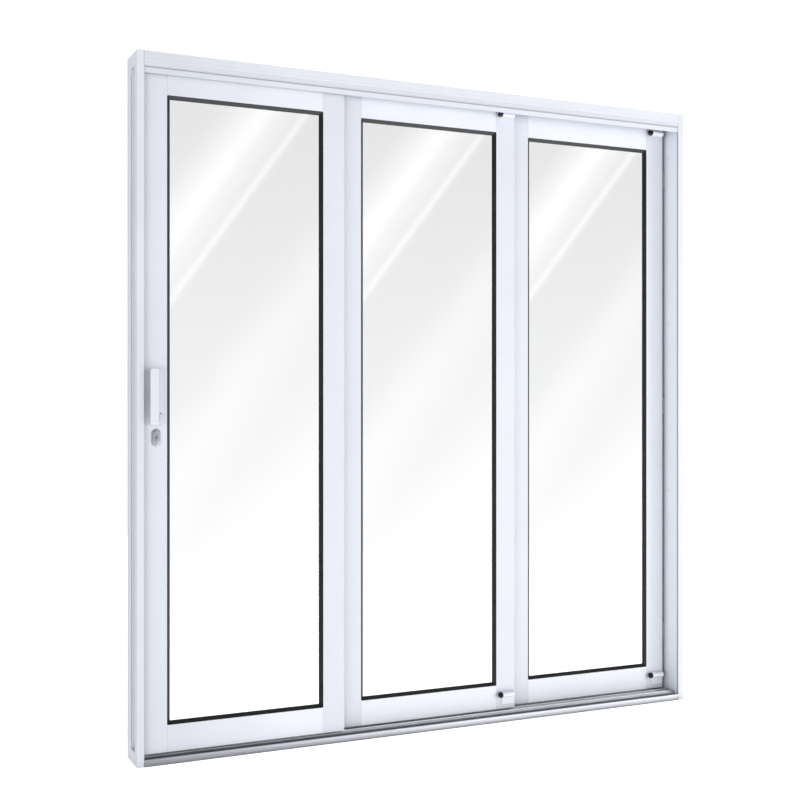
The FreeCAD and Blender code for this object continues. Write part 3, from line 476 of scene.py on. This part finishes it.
joint_line, taken = shape_tree("joint_line", [("Width", "Float", 0.0004), ("Depth", "Float", 0.00012)])
run = named_vector(joint_line, "run")
way = result(joint_line, "FunctionNodeAlignRotationToVector", {"Vector": run}, axis="Z")
length = add_node(joint_line, "ShaderNodeVectorMath", {0: run}, operation="LENGTH").outputs["Value"]
size = result(joint_line, "ShaderNodeCombineXYZ", {0: taken["Width"], 1: taken["Depth"], 2: length})
bar = result(joint_line, "GeometryNodeMeshCube", {"Vertices Z": 3})
end_shape(joint_line, taken, result(joint_line, "GeometryNodeInstanceOnPoints", {
    "Points": taken["Geometry"], "Instance": bar, "Rotation": way, "Scale": size}))


def even_tone(name, colour, roughness, dust_and_painted_shade, patches):
    """An even tone with a little dust."""
    material, tree, shader = new_material(name, Roughness=roughness)
    feed(shader, Base_Color=use_group(tree, dust, Color=colour, Amount=dust_and_painted_shade, Patches=patches)["Color"])
    return material


def shade_lines(name, body, places, runs, material, **sizes):
    """Thin strips on a body's white profiles, each centred on its place and as long as its run."""
    lines = grow(point_set(name, places, run=runs), joint_line, material, **sizes)
    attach(lines, body)


joint_shadow = even_tone("joint_shadow", (0.16, 0.165, 0.18, 1), roughness=0.7, dust_and_painted_shade=0.5, patches=60.0)
soft_shade = even_tone("soft_shade", (0.61, 0.63, 0.695, 1), roughness=0.5, dust_and_painted_shade=0.2, patches=30.0)
band_shade = even_tone("band_shade", (0.715, 0.738, 0.81, 1), roughness=0.45, dust_and_painted_shade=0.1, patches=30.0)

FACE_HEIGHT, SILL_LIP = 0.045, 0.021
BACK_SUNK = 0.00005
head_low, head_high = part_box("head")
face_foot = head_high.z - FACE_HEIGHT
places, runs = [], []
for x in (head_low.x, head_high.x):
    for y in (head_low.y, head_high.y - BACK_SUNK):
        places += [(x, y, head_high.z - FACE_HEIGHT / 2), (x, y, SILL_LIP / 2)]
        runs += [(0, 0, FACE_HEIGHT), (0, 0, SILL_LIP)]
shade_lines("frame_joints", "frame", places, runs, joint_shadow)

# Painted shade round the lower edge of the head's face: a painted shadow line under it, painted soft shades
# on either side and a greyer painted band above.
FASCIA_SETBACK = 0.005
SHADOW_DROP, SHADOW_WIDTH = 0.0005, 0.0018
EDGE_WIDTH, UNDER_EDGE_DROP = 0.003, 0.0026
BAND_WIDTH, BAND_RISE = 0.012, 0.0091
across = (head_high.x - head_low.x, 0, 0)
set_back = head_low.y + FASCIA_SETBACK
places = [(0, head_low.y, face_foot + EDGE_WIDTH / 2), (0, set_back, face_foot - UNDER_EDGE_DROP)]
shade_lines("head_edges", "frame", places, [across] * 2, soft_shade, Width=EDGE_WIDTH, Depth=0.0001)
shade_lines("head_band", "frame", [(0, head_low.y, face_foot + BAND_RISE)], [across], band_shade,
            Width=BAND_WIDTH, Depth=0.0001)
places = [(0, y, face_foot - SHADOW_DROP) for y in (set_back, head_high.y - FASCIA_SETBACK)]
shade_lines("head_step_shadow", "frame", places, [across] * 2, joint_shadow, Width=SHADOW_WIDTH, Depth=0.0002)

# Painted shadow lines on the jambs: along each inner face near its front and back, with a painted soft
# shade beside the front one, and in the corners of each groove.
HEAD_HEIGHT = 0.063
FACE_LINE_INSET = 0.006
GROOVE_DEPTH, GROOVE_END, GROOVE_STOPS = 0.0175, 0.078, 0.11
FLOOR_LINE_INSET, WALL_LINE_INSET = 0.001, 0.0014
jamb_low, jamb_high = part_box("right_jamb")
face_line_run = head_high.z - HEAD_HEIGHT - SILL_LIP
face_line_middle = SILL_LIP + face_line_run / 2
groove_end = jamb_low.y + GROOVE_END
groove_run = jamb_high.z - GROOVE_STOPS
places, runs = [], []
for side in (-1, 1):
    for y in (jamb_low.y + FACE_LINE_INSET, jamb_high.y - FACE_LINE_INSET):
        places.append((side * jamb_low.x, y, face_line_middle))
    places.append((side * (jamb_high.x - GROOVE_DEPTH), groove_end - FLOOR_LINE_INSET, jamb_high.z / 2))
    runs += [(0, 0, face_line_run), (0, 0, face_line_run), (0, 0, groove_run)]
shade_lines("jamb_shadow_lines", "frame", places, runs, joint_shadow, Width=0.0002, Depth=0.0032)
places = [(side * jamb_low.x, jamb_low.y + FACE_LINE_INSET, face_line_middle) for side in (-1, 1)]
shade_lines("jamb_shades", "frame", places, [(0, 0, face_line_run)] * 2, soft_shade, Width=0.0001, Depth=0.011)
places = [(side * (jamb_high.x - WALL_LINE_INSET), groove_end, jamb_high.z / 2) for side in (-1, 1)]
shade_lines("groove_shadow_lines", "frame", places, [(0, 0, groove_run)] * 2, joint_shadow,
            Width=0.0008, Depth=0.00016)

# Ridge along the head's face: the rounded edge of its upper half, which stands a little proud of the
# lower one. It is part of the extrusion and runs from jamb to jamb.
RIDGE_DROP = 0.0272
RIDGE_HEIGHT, RIDGE_STAND, RIDGE_SUNK = 0.006, 0.0009, 0.0004
TOP_SLOPE, NOSE_HEIGHT, NOSE_STEPS = 0.0002, 0.0011, 6
END_GAP = 0.0003


def closed_solid(name, vertices, faces, material, crease):
    """A solid with its faces turned outwards, smooth but for edges sharper than crease in degrees."""
    piece = mesh_object(name, vertices, faces, material)
    facing = bmesh.new()
    facing.from_mesh(piece.data)
    bmesh.ops.recalc_face_normals(facing, faces=facing.faces)
    facing.to_mesh(piece.data)
    facing.free()
    piece.data.shade_smooth()
    piece.data.set_sharp_from_angle(angle=math.radians(crease))
    return piece


def layered(name, rings, material, closed=False, crease=30):
    """A solid of equal loops joined in turn; an open stack gets a face at each end."""
    count = len(rings[0])
    vertices = [corner for ring in rings for corner in ring]
    pairs = list(zip(range(len(rings)), range(1, len(rings))))
    if closed:
        pairs.append((len(rings) - 1, 0))
    faces = []
    for near, far in pairs:
        near, far = near * count, far * count
        for turn in range(count):
            after = (turn + 1) % count
            faces.append((near + turn, near + after, far + after, far + turn))
    if not closed:
        faces += [tuple(range(count)), tuple(range((len(rings) - 1) * count, len(rings) * count))]
    return closed_solid(name, vertices, faces, material, crease)


foot = head_high.z - RIDGE_DROP
face = head_low.y
section = [(face + RIDGE_SUNK, foot + RIDGE_HEIGHT + TOP_SLOPE), (face, foot + RIDGE_HEIGHT)]
for step in range(NOSE_STEPS + 1):
    angle = math.pi / 2 * step / NOSE_STEPS
    section.append((face - RIDGE_STAND * math.cos(angle), foot + NOSE_HEIGHT * (1 - math.sin(angle))))
section.append((face + RIDGE_SUNK, foot))
ends = (head_low.x + END_GAP, head_high.x - END_GAP)
head_ridge = layered("head_ridge", [[(x, y, z) for y, z in section] for x in ends], head_white, crease=40)
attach(head_ridge, "frame")

# Leaves: uprights and rails of the same coat, butted at the corners and screwed through the upright. The
# rails are painted a shade lighter than the uprights, a painted sheen of the light on them, and the left
# leaf's rails are painted greyer towards the jamb, a painted shade.
stile_white = coat("stile_white", (0.765, 0.79, 0.865, 1), dust_and_painted_shade=0.5)
rail_white = coat("rail_white", (0.875, 0.9, 0.97, 1), dust_and_painted_shade=0.08)
first_rail_white = coat("first_rail_white", (0.87, 0.895, 0.965, 1), painted_shade_from=(0.755, 0.78, 0.855, 1),
                        dust_and_painted_shade=0.25)
BODY = {"left": "left_leaf", "middle": "middle_leaf", "right": "frame"}
JOINT_SHORTER = 0.0005
for leaf in BODY:
    dress(stile_white, leaf + "_leaf_left_stile", leaf + "_leaf_right_stile")
    white = first_rail_white if leaf == "left" else rail_white
    dress(white, leaf + "_leaf_top_rail", leaf + "_leaf_bottom_rail")
dress(stile_white, "middle_leaf_interlock", "right_leaf_interlock")

for leaf, body in BODY.items():
    places, runs = [], []
    for rail in ("_leaf_top_rail", "_leaf_bottom_rail"):
        low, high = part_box(leaf + rail)
        places += [(x, y, (low.z + high.z) / 2) for x in (low.x, high.x) for y in (low.y, high.y)]
        runs += [(0, 0, high.z - low.z - JOINT_SHORTER)] * 4
    shade_lines(leaf + "_leaf_joints", body, places, runs, joint_shadow, Width=0.00024, Depth=0.0001)

# Glass: clear 5 mm toughened panes, faintly grey, with the film of a wiped pane. They are set between
# gaskets, and they cast no shadow, so that the lights come through them.
wiped, taken, given = shader_group("wiped_film", [
    ("Color", "Color", (1, 1, 1, 1)), ("Film", "Float", 0.01)], [("Color", "Color")])
swept = result(wiped, "ShaderNodeVectorMath", {0: place_in(wiped), 1: (3.0, 1.0, 1.2)},
               operation="MULTIPLY")
marks = noise(wiped, swept, 2.2, Detail=5.0, Distortion=0.6)
kept = sums(wiped, "SUBTRACT", 1.0, sums(wiped, "MULTIPLY", marks, taken["Film"]))
tint = result(wiped, "ShaderNodeVectorMath", {0: taken["Color"], "Scale": kept}, operation="SCALE")
feed(given, Color=tint)

clear_glass, tree, shader = new_material("clear_glass", Transmission_Weight=1.0, Roughness=0.0, IOR=1.5)
feed(shader, Base_Color=use_group(tree, wiped, Color=(0.965, 0.97, 0.97, 1), Film=0.01)["Color"])
for leaf in BODY:
    dress(clear_glass, leaf + "_leaf_glass")
    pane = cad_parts[leaf + "_leaf_glass"]
    pane.visible_diffuse = False
    pane.visible_shadow = False

# Gaskets: black EPDM wedge gaskets pressed in round each pane from both sides. The wedge slopes down
# to the glass and has a round bead along its outer edge, which fills the line against the aluminium.
BEAD, BEAD_CORNER, BEAD_INSET = 0.00125, 0.003, 0.0002
FRONT_SINK, BACK_SINK = 0.0001, 0.0008

rubber_skin, taken, given = shader_group("rubber_skin", [
    ("Color", "Color", (0.02, 0.02, 0.02, 1)), ("Bloom", "Float", 0.3), ("Grain", "Float", 1600.0)],
    [("Color", "Color"), ("Roughness", "Float"), ("Height", "Float")])
place = place_in(rubber_skin)
clouds = noise(rubber_skin, place, 24.0, Detail=6.0, Roughness=0.65)
pale = graded(rubber_skin, clouds, 0.4, 0.75, 0.0, 1.0)
chalk = sums(rubber_skin, "MULTIPLY", pale, taken["Bloom"])
bloomed = blended(rubber_skin, chalk, taken["Color"], (0.12, 0.122, 0.128, 1))
# Faces that look down are painted paler: a painted light from below.
normal = add_node(rubber_skin, "ShaderNodeNewGeometry").outputs["True Normal"]
hanging = graded(rubber_skin, axes(rubber_skin, normal)["Z"], -0.15, -0.5, 0.0, 1.0)
bloom_and_painted_light = blended(rubber_skin, hanging, bloomed, (0.046, 0.048, 0.053, 1))
duller = graded(rubber_skin, chalk, 0.0, 0.3, 0.46, 0.62)
fine = noise(rubber_skin, place, taken["Grain"], Detail=2.0)
feed(given, Color=bloom_and_painted_light, Roughness=duller, Height=fine)


def rubber(name, colour, bloom, grain, sheen):
    """Moulded rubber with a chalky bloom, painted paler where it faces down as a painted light from below.
    """
    material, tree, shader = new_material(name, IOR=1.5, Specular_IOR_Level=sheen)
    skin = use_group(tree, rubber_skin, Color=colour, Bloom=bloom, Grain=grain)
    feed(shader, Base_Color=skin["Color"], Roughness=skin["Roughness"])
    bumped(shader, skin["Height"], distance=0.00005, edges=0.0004)
    return material


# The wedge's rubber is a little paler and the bead's darker: a painted light on the wedge's slope and a
# painted shade on the line against the aluminium.
wedge_rubber = rubber("wedge_rubber", (0.007, 0.0075, 0.0095, 1), bloom=0.1, grain=1500.0, sheen=0.26)
bead_rubber = rubber("bead_rubber", (0.004, 0.0045, 0.006, 1), bloom=0.05, grain=1900.0, sheen=0.26)
dress(wedge_rubber, *[leaf + "_leaf_gasket" for leaf in BODY])

bead_ring, taken = shape_tree("bead_ring", [
    ("Width", "Float", 1.0), ("Height", "Float", 1.0), ("Front", "Float", -0.01), ("Back", "Float", 0.01),
    ("Bead", "Float", BEAD), ("Corner", "Float", BEAD_CORNER)])
path = result(bead_ring, "GeometryNodeCurvePrimitiveQuadrilateral", {
    "Width": taken["Width"], "Height": taken["Height"]})
round_path = result(bead_ring, "GeometryNodeFilletCurve", {
    "Curve": path, "Radius": taken["Corner"], "Count": 5}, mode="POLY")
bead = result(bead_ring, "GeometryNodeCurvePrimitiveCircle", {"Resolution": 10, "Radius": taken["Bead"]})
ring = result(bead_ring, "GeometryNodeCurveToMesh", {"Curve": round_path, "Profile Curve": bead})
upright = result(bead_ring, "GeometryNodeTransform", {"Geometry": ring, "Rotation": (math.pi / 2, 0, 0)})
both = add_node(bead_ring, "GeometryNodeJoinGeometry")
for side in ("Front", "Back"):
    shift = result(bead_ring, "ShaderNodeCombineXYZ", {1: taken[side]})
    moved = result(bead_ring, "GeometryNodeTransform", {"Geometry": upright, "Translation": shift})
    feed(both, Geometry=moved)
end_shape(bead_ring, taken, result(bead_ring, "GeometryNodeInstanceOnPoints", {
    "Points": taken["Geometry"], "Instance": both.outputs[0]}))

for leaf, body in BODY.items():
    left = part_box(leaf + "_leaf_left_stile")[1].x
    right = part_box(leaf + "_leaf_right_stile")[0].x
    glass_low, glass_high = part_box(leaf + "_leaf_glass")
    wedge_low, wedge_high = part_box(leaf + "_leaf_gasket")
    hidden = left - glass_low.x
    low = Vector((left, wedge_low.y, glass_low.z + hidden))
    high = Vector((right, wedge_high.y, glass_high.z - hidden))
    middle = (low + high) / 2
    beads = grow(point_set(leaf + "_leaf_beads", [middle]), bead_ring, bead_rubber, smooth=True,
                 Width=high.x - low.x - 2 * BEAD_INSET, Height=high.z - low.z - 2 * BEAD_INSET,
                 Front=low.y + FRONT_SINK - middle.y, Back=high.y - BACK_SINK - middle.y)
    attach(beads, body)

# Brushes and pile: polypropylene tufts on a woven back, pushed into a groove. A black brush runs under
# each leaf. Two grey strips close the gap between the fixed leaf and its jamb, one at each face, and
# the front one shows as the dark line down the leaf's outer side.
BRUSH_INSET, BRUSH_BACK, BRUSH_RISE = 0.004, 0.0018, 0.0003
FRONT_PILE, REAR_PILE = 0.0024, 0.0022
PILE_FOOT, PILE_TOP = 0.004, 0.002

pile, taken = shape_tree("pile", [
    ("Step", "Float", 0.0026), ("Length", "Float", 1.0), ("Reach", "Float", 0.0042),
    ("Thickness", "Float", 0.0013), ("Seed", "Int", 3), ("Lay", "Vector", (0.0, 0.0, 0.0))])
count = sums(pile, "DIVIDE", taken["Length"], taken["Step"])
step = result(pile, "ShaderNodeCombineXYZ", {2: taken["Step"]})
row = result(pile, "GeometryNodeMeshLine", {"Count": count, "Offset": step})
tuft = result(pile, "GeometryNodeMeshCone", {"Vertices": 6, "Radius Top": 0.0008,
                                             "Radius Bottom": taken["Thickness"], "Depth": taken["Reach"]})
wild = result(pile, "FunctionNodeRandomValue", {"Min": (-0.12, 1.45, -0.1), "Max": (0.12, 1.7, 0.1),
                                                "Seed": taken["Seed"]}, data_type="FLOAT_VECTOR")
longer = add_node(pile, "FunctionNodeRandomValue", {2: 0.88, 3: 1.08, "Seed": taken["Seed"]},
                  data_type="FLOAT").outputs[1]
tufts = result(pile, "GeometryNodeInstanceOnPoints", {"Points": row, "Instance": tuft, "Rotation": wild,
                                                      "Scale": longer})
end_shape(pile, taken, result(pile, "GeometryNodeInstanceOnPoints", {
    "Points": taken["Geometry"], "Instance": tufts, "Rotation": taken["Lay"]}))


def pile_fibre(name, dark, light):
    """Tufts mottled between two greys."""
    material, tree, shader = new_material(name, Roughness=0.85)
    fibre = noise(tree, place_in(tree), 900.0, Detail=3.0)
    feed(shader, Base_Color=blended(tree, fibre, dark, light))
    bumped(shader, fibre, distance=0.0002)
    return material


pile_black = pile_fibre("pile_black", (0.01, 0.0105, 0.012, 1), (0.04, 0.041, 0.045, 1))
for leaf, body in BODY.items():
    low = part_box(leaf + "_leaf_left_stile")[0]
    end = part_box(leaf + "_leaf_right_stile")[1].x
    start = low + Vector((BRUSH_INSET, BRUSH_BACK, BRUSH_RISE))
    brush = grow(point_set(leaf + "_leaf_brush", [start]), pile, pile_black,
                 Length=end - low.x - 2 * BRUSH_INSET, Lay=(math.pi / 2, 0, math.pi / 2),
                 Reach=0.005, Thickness=0.0016, Step=0.0016)
    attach(brush, body)

pile_grey = pile_fibre("pile_grey", (0.13, 0.132, 0.14, 1), (0.24, 0.243, 0.25, 1))
low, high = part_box("right_leaf_right_stile")
rear_sizes = {"Reach": 0.0113, "Thickness": 0.0014, "Step": 0.0018}
for name, y, sizes in (("pile_strip", low.y + FRONT_PILE, {}),
                       ("rear_pile_strip", high.y - REAR_PILE, rear_sizes)):
    strip = grow(point_set(name, [(high.x, y, low.z + PILE_FOOT)]), pile, pile_grey,
                 Length=high.z - low.z - PILE_FOOT - PILE_TOP, **sizes)
    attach(strip, "frame")

# Bumpers: turned from black rubber, domed, with a moulded groove behind the dome. Each is pressed on
# the end of its stop's barrel. The profile is in millimetres, along the axis and out from it.
BUMPER_PROFILE = [(12.0, 0.0), (12.0, 8.7), (11.5, 9.3), (10.4, 9.5), (8.6, 9.5), (8.3, 9.1), (7.7, 9.1),
                  (7.4, 9.5), (4.6, 9.4), (2.6, 8.75), (1.1, 7.2), (0.3, 4.9), (0.0, 2.6), (0.35, 1.9),
                  (0.5, 0.0)]
BUMPER_RADIUS = 0.0095
BUMPER_SIDES = 40


def bumper_pair(name, starts, material):
    """Rubbers turned round +X, one at each start, closed on the axis at both ends."""
    vertices, faces = [], []
    for start in starts:
        rings = []
        for along, radius in BUMPER_PROFILE:
            ring = []
            for turn in range(BUMPER_SIDES if radius else 1):
                angle = 2 * math.pi * turn / BUMPER_SIDES
                ring.append(len(vertices))
                out = Vector((along, radius * math.cos(angle), radius * math.sin(angle)))
                vertices.append(Vector(start) + out / 1000)
            rings.append(ring)
        for near, far in zip(rings, rings[1:]):
            for turn in range(BUMPER_SIDES):
                after = turn + 1
                corners = [near[turn % len(near)], near[after % len(near)], far[after % len(far)],
                           far[turn % len(far)]]
                faces.append(tuple(dict.fromkeys(corners)))
    return closed_solid(name, vertices, faces, material, crease=35)


bumper_rubber = rubber("bumper_rubber", (0.0055, 0.0065, 0.0095, 1), bloom=0.05, grain=1300.0, sheen=0.2)
for leaf in ("middle", "right"):
    low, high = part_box(leaf + "_leaf_bumpers")
    axis = (low.y + high.y) / 2
    bumpers = bumper_pair(leaf + "_leaf_domes", [(low.x, axis, low.z + BUMPER_RADIUS),
                                                 (low.x, axis, high.z - BUMPER_RADIUS)], bumper_rubber)
    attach(bumpers, BODY[leaf])
    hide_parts(leaf + "_leaf_bumpers")

# Stops: pressure-cast brackets in the rails' white, each with a barrel for the rubber and a plate
# screwed to the upright.
dress(rail_white, "middle_leaf_stops", "right_leaf_stops")

# Handle: one bent section of white-coated aluminium with a raised pad over its lower fixing. The pad
# is cast on, and one dark screw sits above it.
PAD_INSET, PAD_RISE = 0.0095, 0.0172
PAD_WIDTH, PAD_HEIGHT, PAD_CORNER = 0.0165, 0.0245, 0.0035
PAD_LAYERS = ((0.0012, 0), (0.0044, 0), (0.0049, 0.0002), (0.0052, 0.0008))
CORNER_STEPS = 12


def oblong(x, y, z, width, height, corner):
    """A loop seen from the front: an oblong with round corners."""
    loop = []
    for quarter, (across, up) in enumerate(((1, 1), (-1, 1), (-1, -1), (1, -1))):
        for step in range(CORNER_STEPS + 1):
            angle = math.pi / 2 * (quarter + step / CORNER_STEPS)
            loop.append((x + across * (width / 2 - corner) + corner * math.cos(angle), y,
                         z + up * (height / 2 - corner) + corner * math.sin(angle)))
    return loop


handle_white = coat("handle_white", (0.79, 0.815, 0.885, 1), roughness=0.36)
dress(handle_white, "pull_handle")
handle_low, handle_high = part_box("pull_handle")
pad_rings = [oblong(handle_high.x - PAD_INSET, handle_high.y - depth, handle_low.z + PAD_RISE,
                    PAD_WIDTH - 2 * inset, PAD_HEIGHT - 2 * inset, PAD_CORNER - inset)
             for depth, inset in PAD_LAYERS]
handle_pad = layered("handle_pad", pad_rings, handle_white)
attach(handle_pad, "left_leaf")

# Escutcheon: an oblong plate of satin nickel round the lock, chamfered, with a bore for the cylinder.
# Cylinder, keeper and inner pull have the same brushed finish, and the key plug is a darker metal, painted
# dark as a painted shade of the keyhole.
CHAMFER, FIRST_FACET = 0.0007, 0.00021
BORE_GAP, BORE_EDGE = 0.0003, 0.0004

brushed = lined_metal("satin_metal", (0.34, 0.355, 0.4, 1), dust_and_painted_shade=0.1, patches=120.0, relief=0.00003,
                      edge=0.0004, Along=(1.0, 1.0, 0.02), Lines=2600.0, Roughness=0.44, Variation=0.1)
dress(brushed, "lock_cylinder", "lock_keeper", "inner_flush_pull")
dark_plug_metal = lined_metal("key_plug_dark_metal", (0.27, 0.28, 0.31, 1), dust_and_painted_shade=0.1, patches=200.0,
                        relief=0.00003, edge=0.0003, Along=(1.0, 1.0, 1.0), Lines=900.0, Roughness=0.5,
                        Variation=0.1)
dress(dark_plug_metal, "key_plug")

plate_low, plate_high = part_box("lock_escutcheon")
cylinder_low, cylinder_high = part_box("lock_cylinder")
lock = (plate_low + plate_high) / 2
plate_width, plate_height = plate_high.x - plate_low.x, plate_high.z - plate_low.z
bore = (cylinder_high.x - cylinder_low.x) / 2 + BORE_GAP
plate_rings = []
for y, inset in ((plate_high.y, 0), (plate_low.y + CHAMFER, 0), (plate_low.y + FIRST_FACET, FIRST_FACET),
                 (plate_low.y, CHAMFER)):
    plate_rings.append(oblong(lock.x, y, lock.z, plate_width - 2 * inset, plate_height - 2 * inset,
                              plate_width / 2 - inset))
for y, radius in ((plate_low.y, bore + BORE_EDGE), (plate_low.y + BORE_EDGE, bore), (plate_high.y, bore)):
    plate_rings.append(oblong(lock.x, y, lock.z, 2 * radius, 2 * radius, radius))
escutcheon = layered("escutcheon_plate", plate_rings, brushed, closed=True)
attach(escutcheon, "left_leaf")
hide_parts("lock_escutcheon")

# Rollers and lock case: zinc-plated steel, passivated, with the cloudy bloom of the bath. The guides
# and setting blocks are moulded nylon, and the fixed leaf's spacers are grey rubber.
passivated, tree, shader = new_material("zinc_steel", Metallic=1.0)
bath = result(tree, "ShaderNodeTexVoronoi", {"Vector": place_in(tree), "Scale": 160.0})
cloud = graded(tree, bath, 0.0, 0.6, 0.0, 1.0)
feed(shader, Base_Color=blended(tree, cloud, (0.46, 0.47, 0.49, 1), (0.6, 0.61, 0.6, 1)),
     Roughness=graded(tree, cloud, 0.0, 1.0, 0.3, 0.46))
bumped(shader, bath, distance=0.00002, edges=0.0003)
dress(passivated, "left_leaf_rollers", "middle_leaf_rollers", "lock_case")

moulded, tree, shader = new_material("nylon", IOR=1.53)
skin = use_group(tree, powder_coat, Color=(0.66, 0.66, 0.64, 1), Shade=0.04, Peel=1400.0, Roughness=0.5)
feed(shader, Base_Color=skin["Color"], Roughness=skin["Roughness"])
bumped(shader, skin["Height"], distance=0.00008, edges=0.0005)
dress(moulded, "fixed_leaf_setting_blocks", *[leaf + "_leaf_guides" for leaf in BODY])
spacer_rubber = rubber("spacer_rubber", (0.33, 0.345, 0.385, 1), bloom=0.05, grain=1300.0, sheen=0.2)
dress(spacer_rubber, "fixed_leaf_spacers")

# Screws: pan-head steel screws with a cross recess, in the stops' plates, the lock's plates and the
# handle. Those of the stops are coated white and that of the handle is dark. One tree makes them all.
RECESS_SHARE = 0.24

screw_head, taken = shape_tree("screw_head", [("Radius", "Float", 0.003), ("Rise", "Float", 0.001),
                                              ("Recess", "Float", 0.0035)])
ball = result(screw_head, "GeometryNodeMeshUVSphere", {"Segments": 24, "Rings": 12, "Radius": 1.0})
pressed = result(screw_head, "ShaderNodeCombineXYZ", {
    0: taken["Radius"], 1: taken["Radius"], 2: taken["Rise"]})
dome = result(screw_head, "GeometryNodeTransform", {"Geometry": ball, "Scale": pressed})
slim = sums(screw_head, "MULTIPLY", taken["Recess"], RECESS_SHARE)
lift = result(screw_head, "ShaderNodeCombineXYZ", {2: taken["Rise"]})
carved = add_node(screw_head, "GeometryNodeMeshBoolean", {"Mesh 1": dome}, operation="DIFFERENCE")
for width, depth in ((taken["Recess"], slim), (slim, taken["Recess"])):
    blade = result(screw_head, "ShaderNodeCombineXYZ", {0: width, 1: depth, 2: taken["Rise"]})
    cube = result(screw_head, "GeometryNodeMeshCube", {"Size": blade})
    cutter = result(screw_head, "GeometryNodeTransform", {"Geometry": cube, "Translation": lift})
    feed(carved, Mesh_2=cutter)
axis = named_vector(screw_head, "axis")
turn = result(screw_head, "FunctionNodeAlignRotationToVector", {"Vector": axis}, axis="Z")
end_shape(screw_head, taken, result(screw_head, "GeometryNodeInstanceOnPoints", {
    "Points": taken["Geometry"], "Instance": carved.outputs[0], "Rotation": turn}))


def screws(name, body, points, axis, material, slot, **sizes):
    """Screw heads on a body, all of one size and turned one way."""
    heads = point_set(name, points, axis=[axis] * len(points))
    piece = grow(heads, screw_head, material, smooth=True, **sizes)
    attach(piece, body)


OUTSIDE, TO_LEFT, TO_RIGHT = (0, -1, 0), (-1, 0, 0), (1, 0, 0)
PLATE_THICKNESS, PLATE_RISE, PLATE_SCREWS = 0.0025, 0.0165, (0.0295, 0.0145)
LOCK_SCREW_SPREAD = 0.0172
HANDLE_SCREW_INSET, HANDLE_SCREW_DEPTH, HANDLE_SCREW_RISE = 0.009, 0.003, 0.0325
FACEPLATE_SCREW_INSET, KEEPER_SCREW_INSET = 0.012, 0.01
for leaf in ("middle", "right"):
    low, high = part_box(leaf + "_leaf_stops")
    places = [(high.x - inset, high.y - PLATE_THICKNESS, low.z + PLATE_RISE) for inset in PLATE_SCREWS]
    screws(leaf + "_leaf_stop_screws", BODY[leaf], places, OUTSIDE, rail_white, "white_aluminium",
           Radius=0.0031, Rise=0.0009)
places = [(lock.x, plate_low.y, lock.z + side * LOCK_SCREW_SPREAD) for side in (-1, 1)]
screws("escutcheon_screws", "left_leaf", places, OUTSIDE, brushed, "satin_metal",
       Radius=0.0031, Rise=0.0008)
places = [(handle_high.x - HANDLE_SCREW_INSET, handle_high.y - HANDLE_SCREW_DEPTH,
           handle_low.z + HANDLE_SCREW_RISE)]
screws("handle_screw", "left_leaf", places, OUTSIDE, bead_rubber, "gasket_rubber",
       Radius=0.0018, Rise=0.001, Recess=0.0022)
stile_low, stile_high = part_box("left_leaf_left_stile")
middle_y = (stile_low.y + stile_high.y) / 2
low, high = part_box("lock_case")
places = [(low.x, middle_y, z) for z in (low.z + FACEPLATE_SCREW_INSET, high.z - FACEPLATE_SCREW_INSET)]
screws("faceplate_screws", "left_leaf", places, TO_LEFT, brushed, "satin_metal",
       Radius=0.0032, Rise=0.00035)
low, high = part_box("lock_keeper")
places = [(high.x, middle_y, z) for z in (low.z + KEEPER_SCREW_INSET, high.z - KEEPER_SCREW_INSET)]
screws("keeper_screws", "frame", places, TO_RIGHT, brushed, "satin_metal", Radius=0.0032, Rise=0.00035)
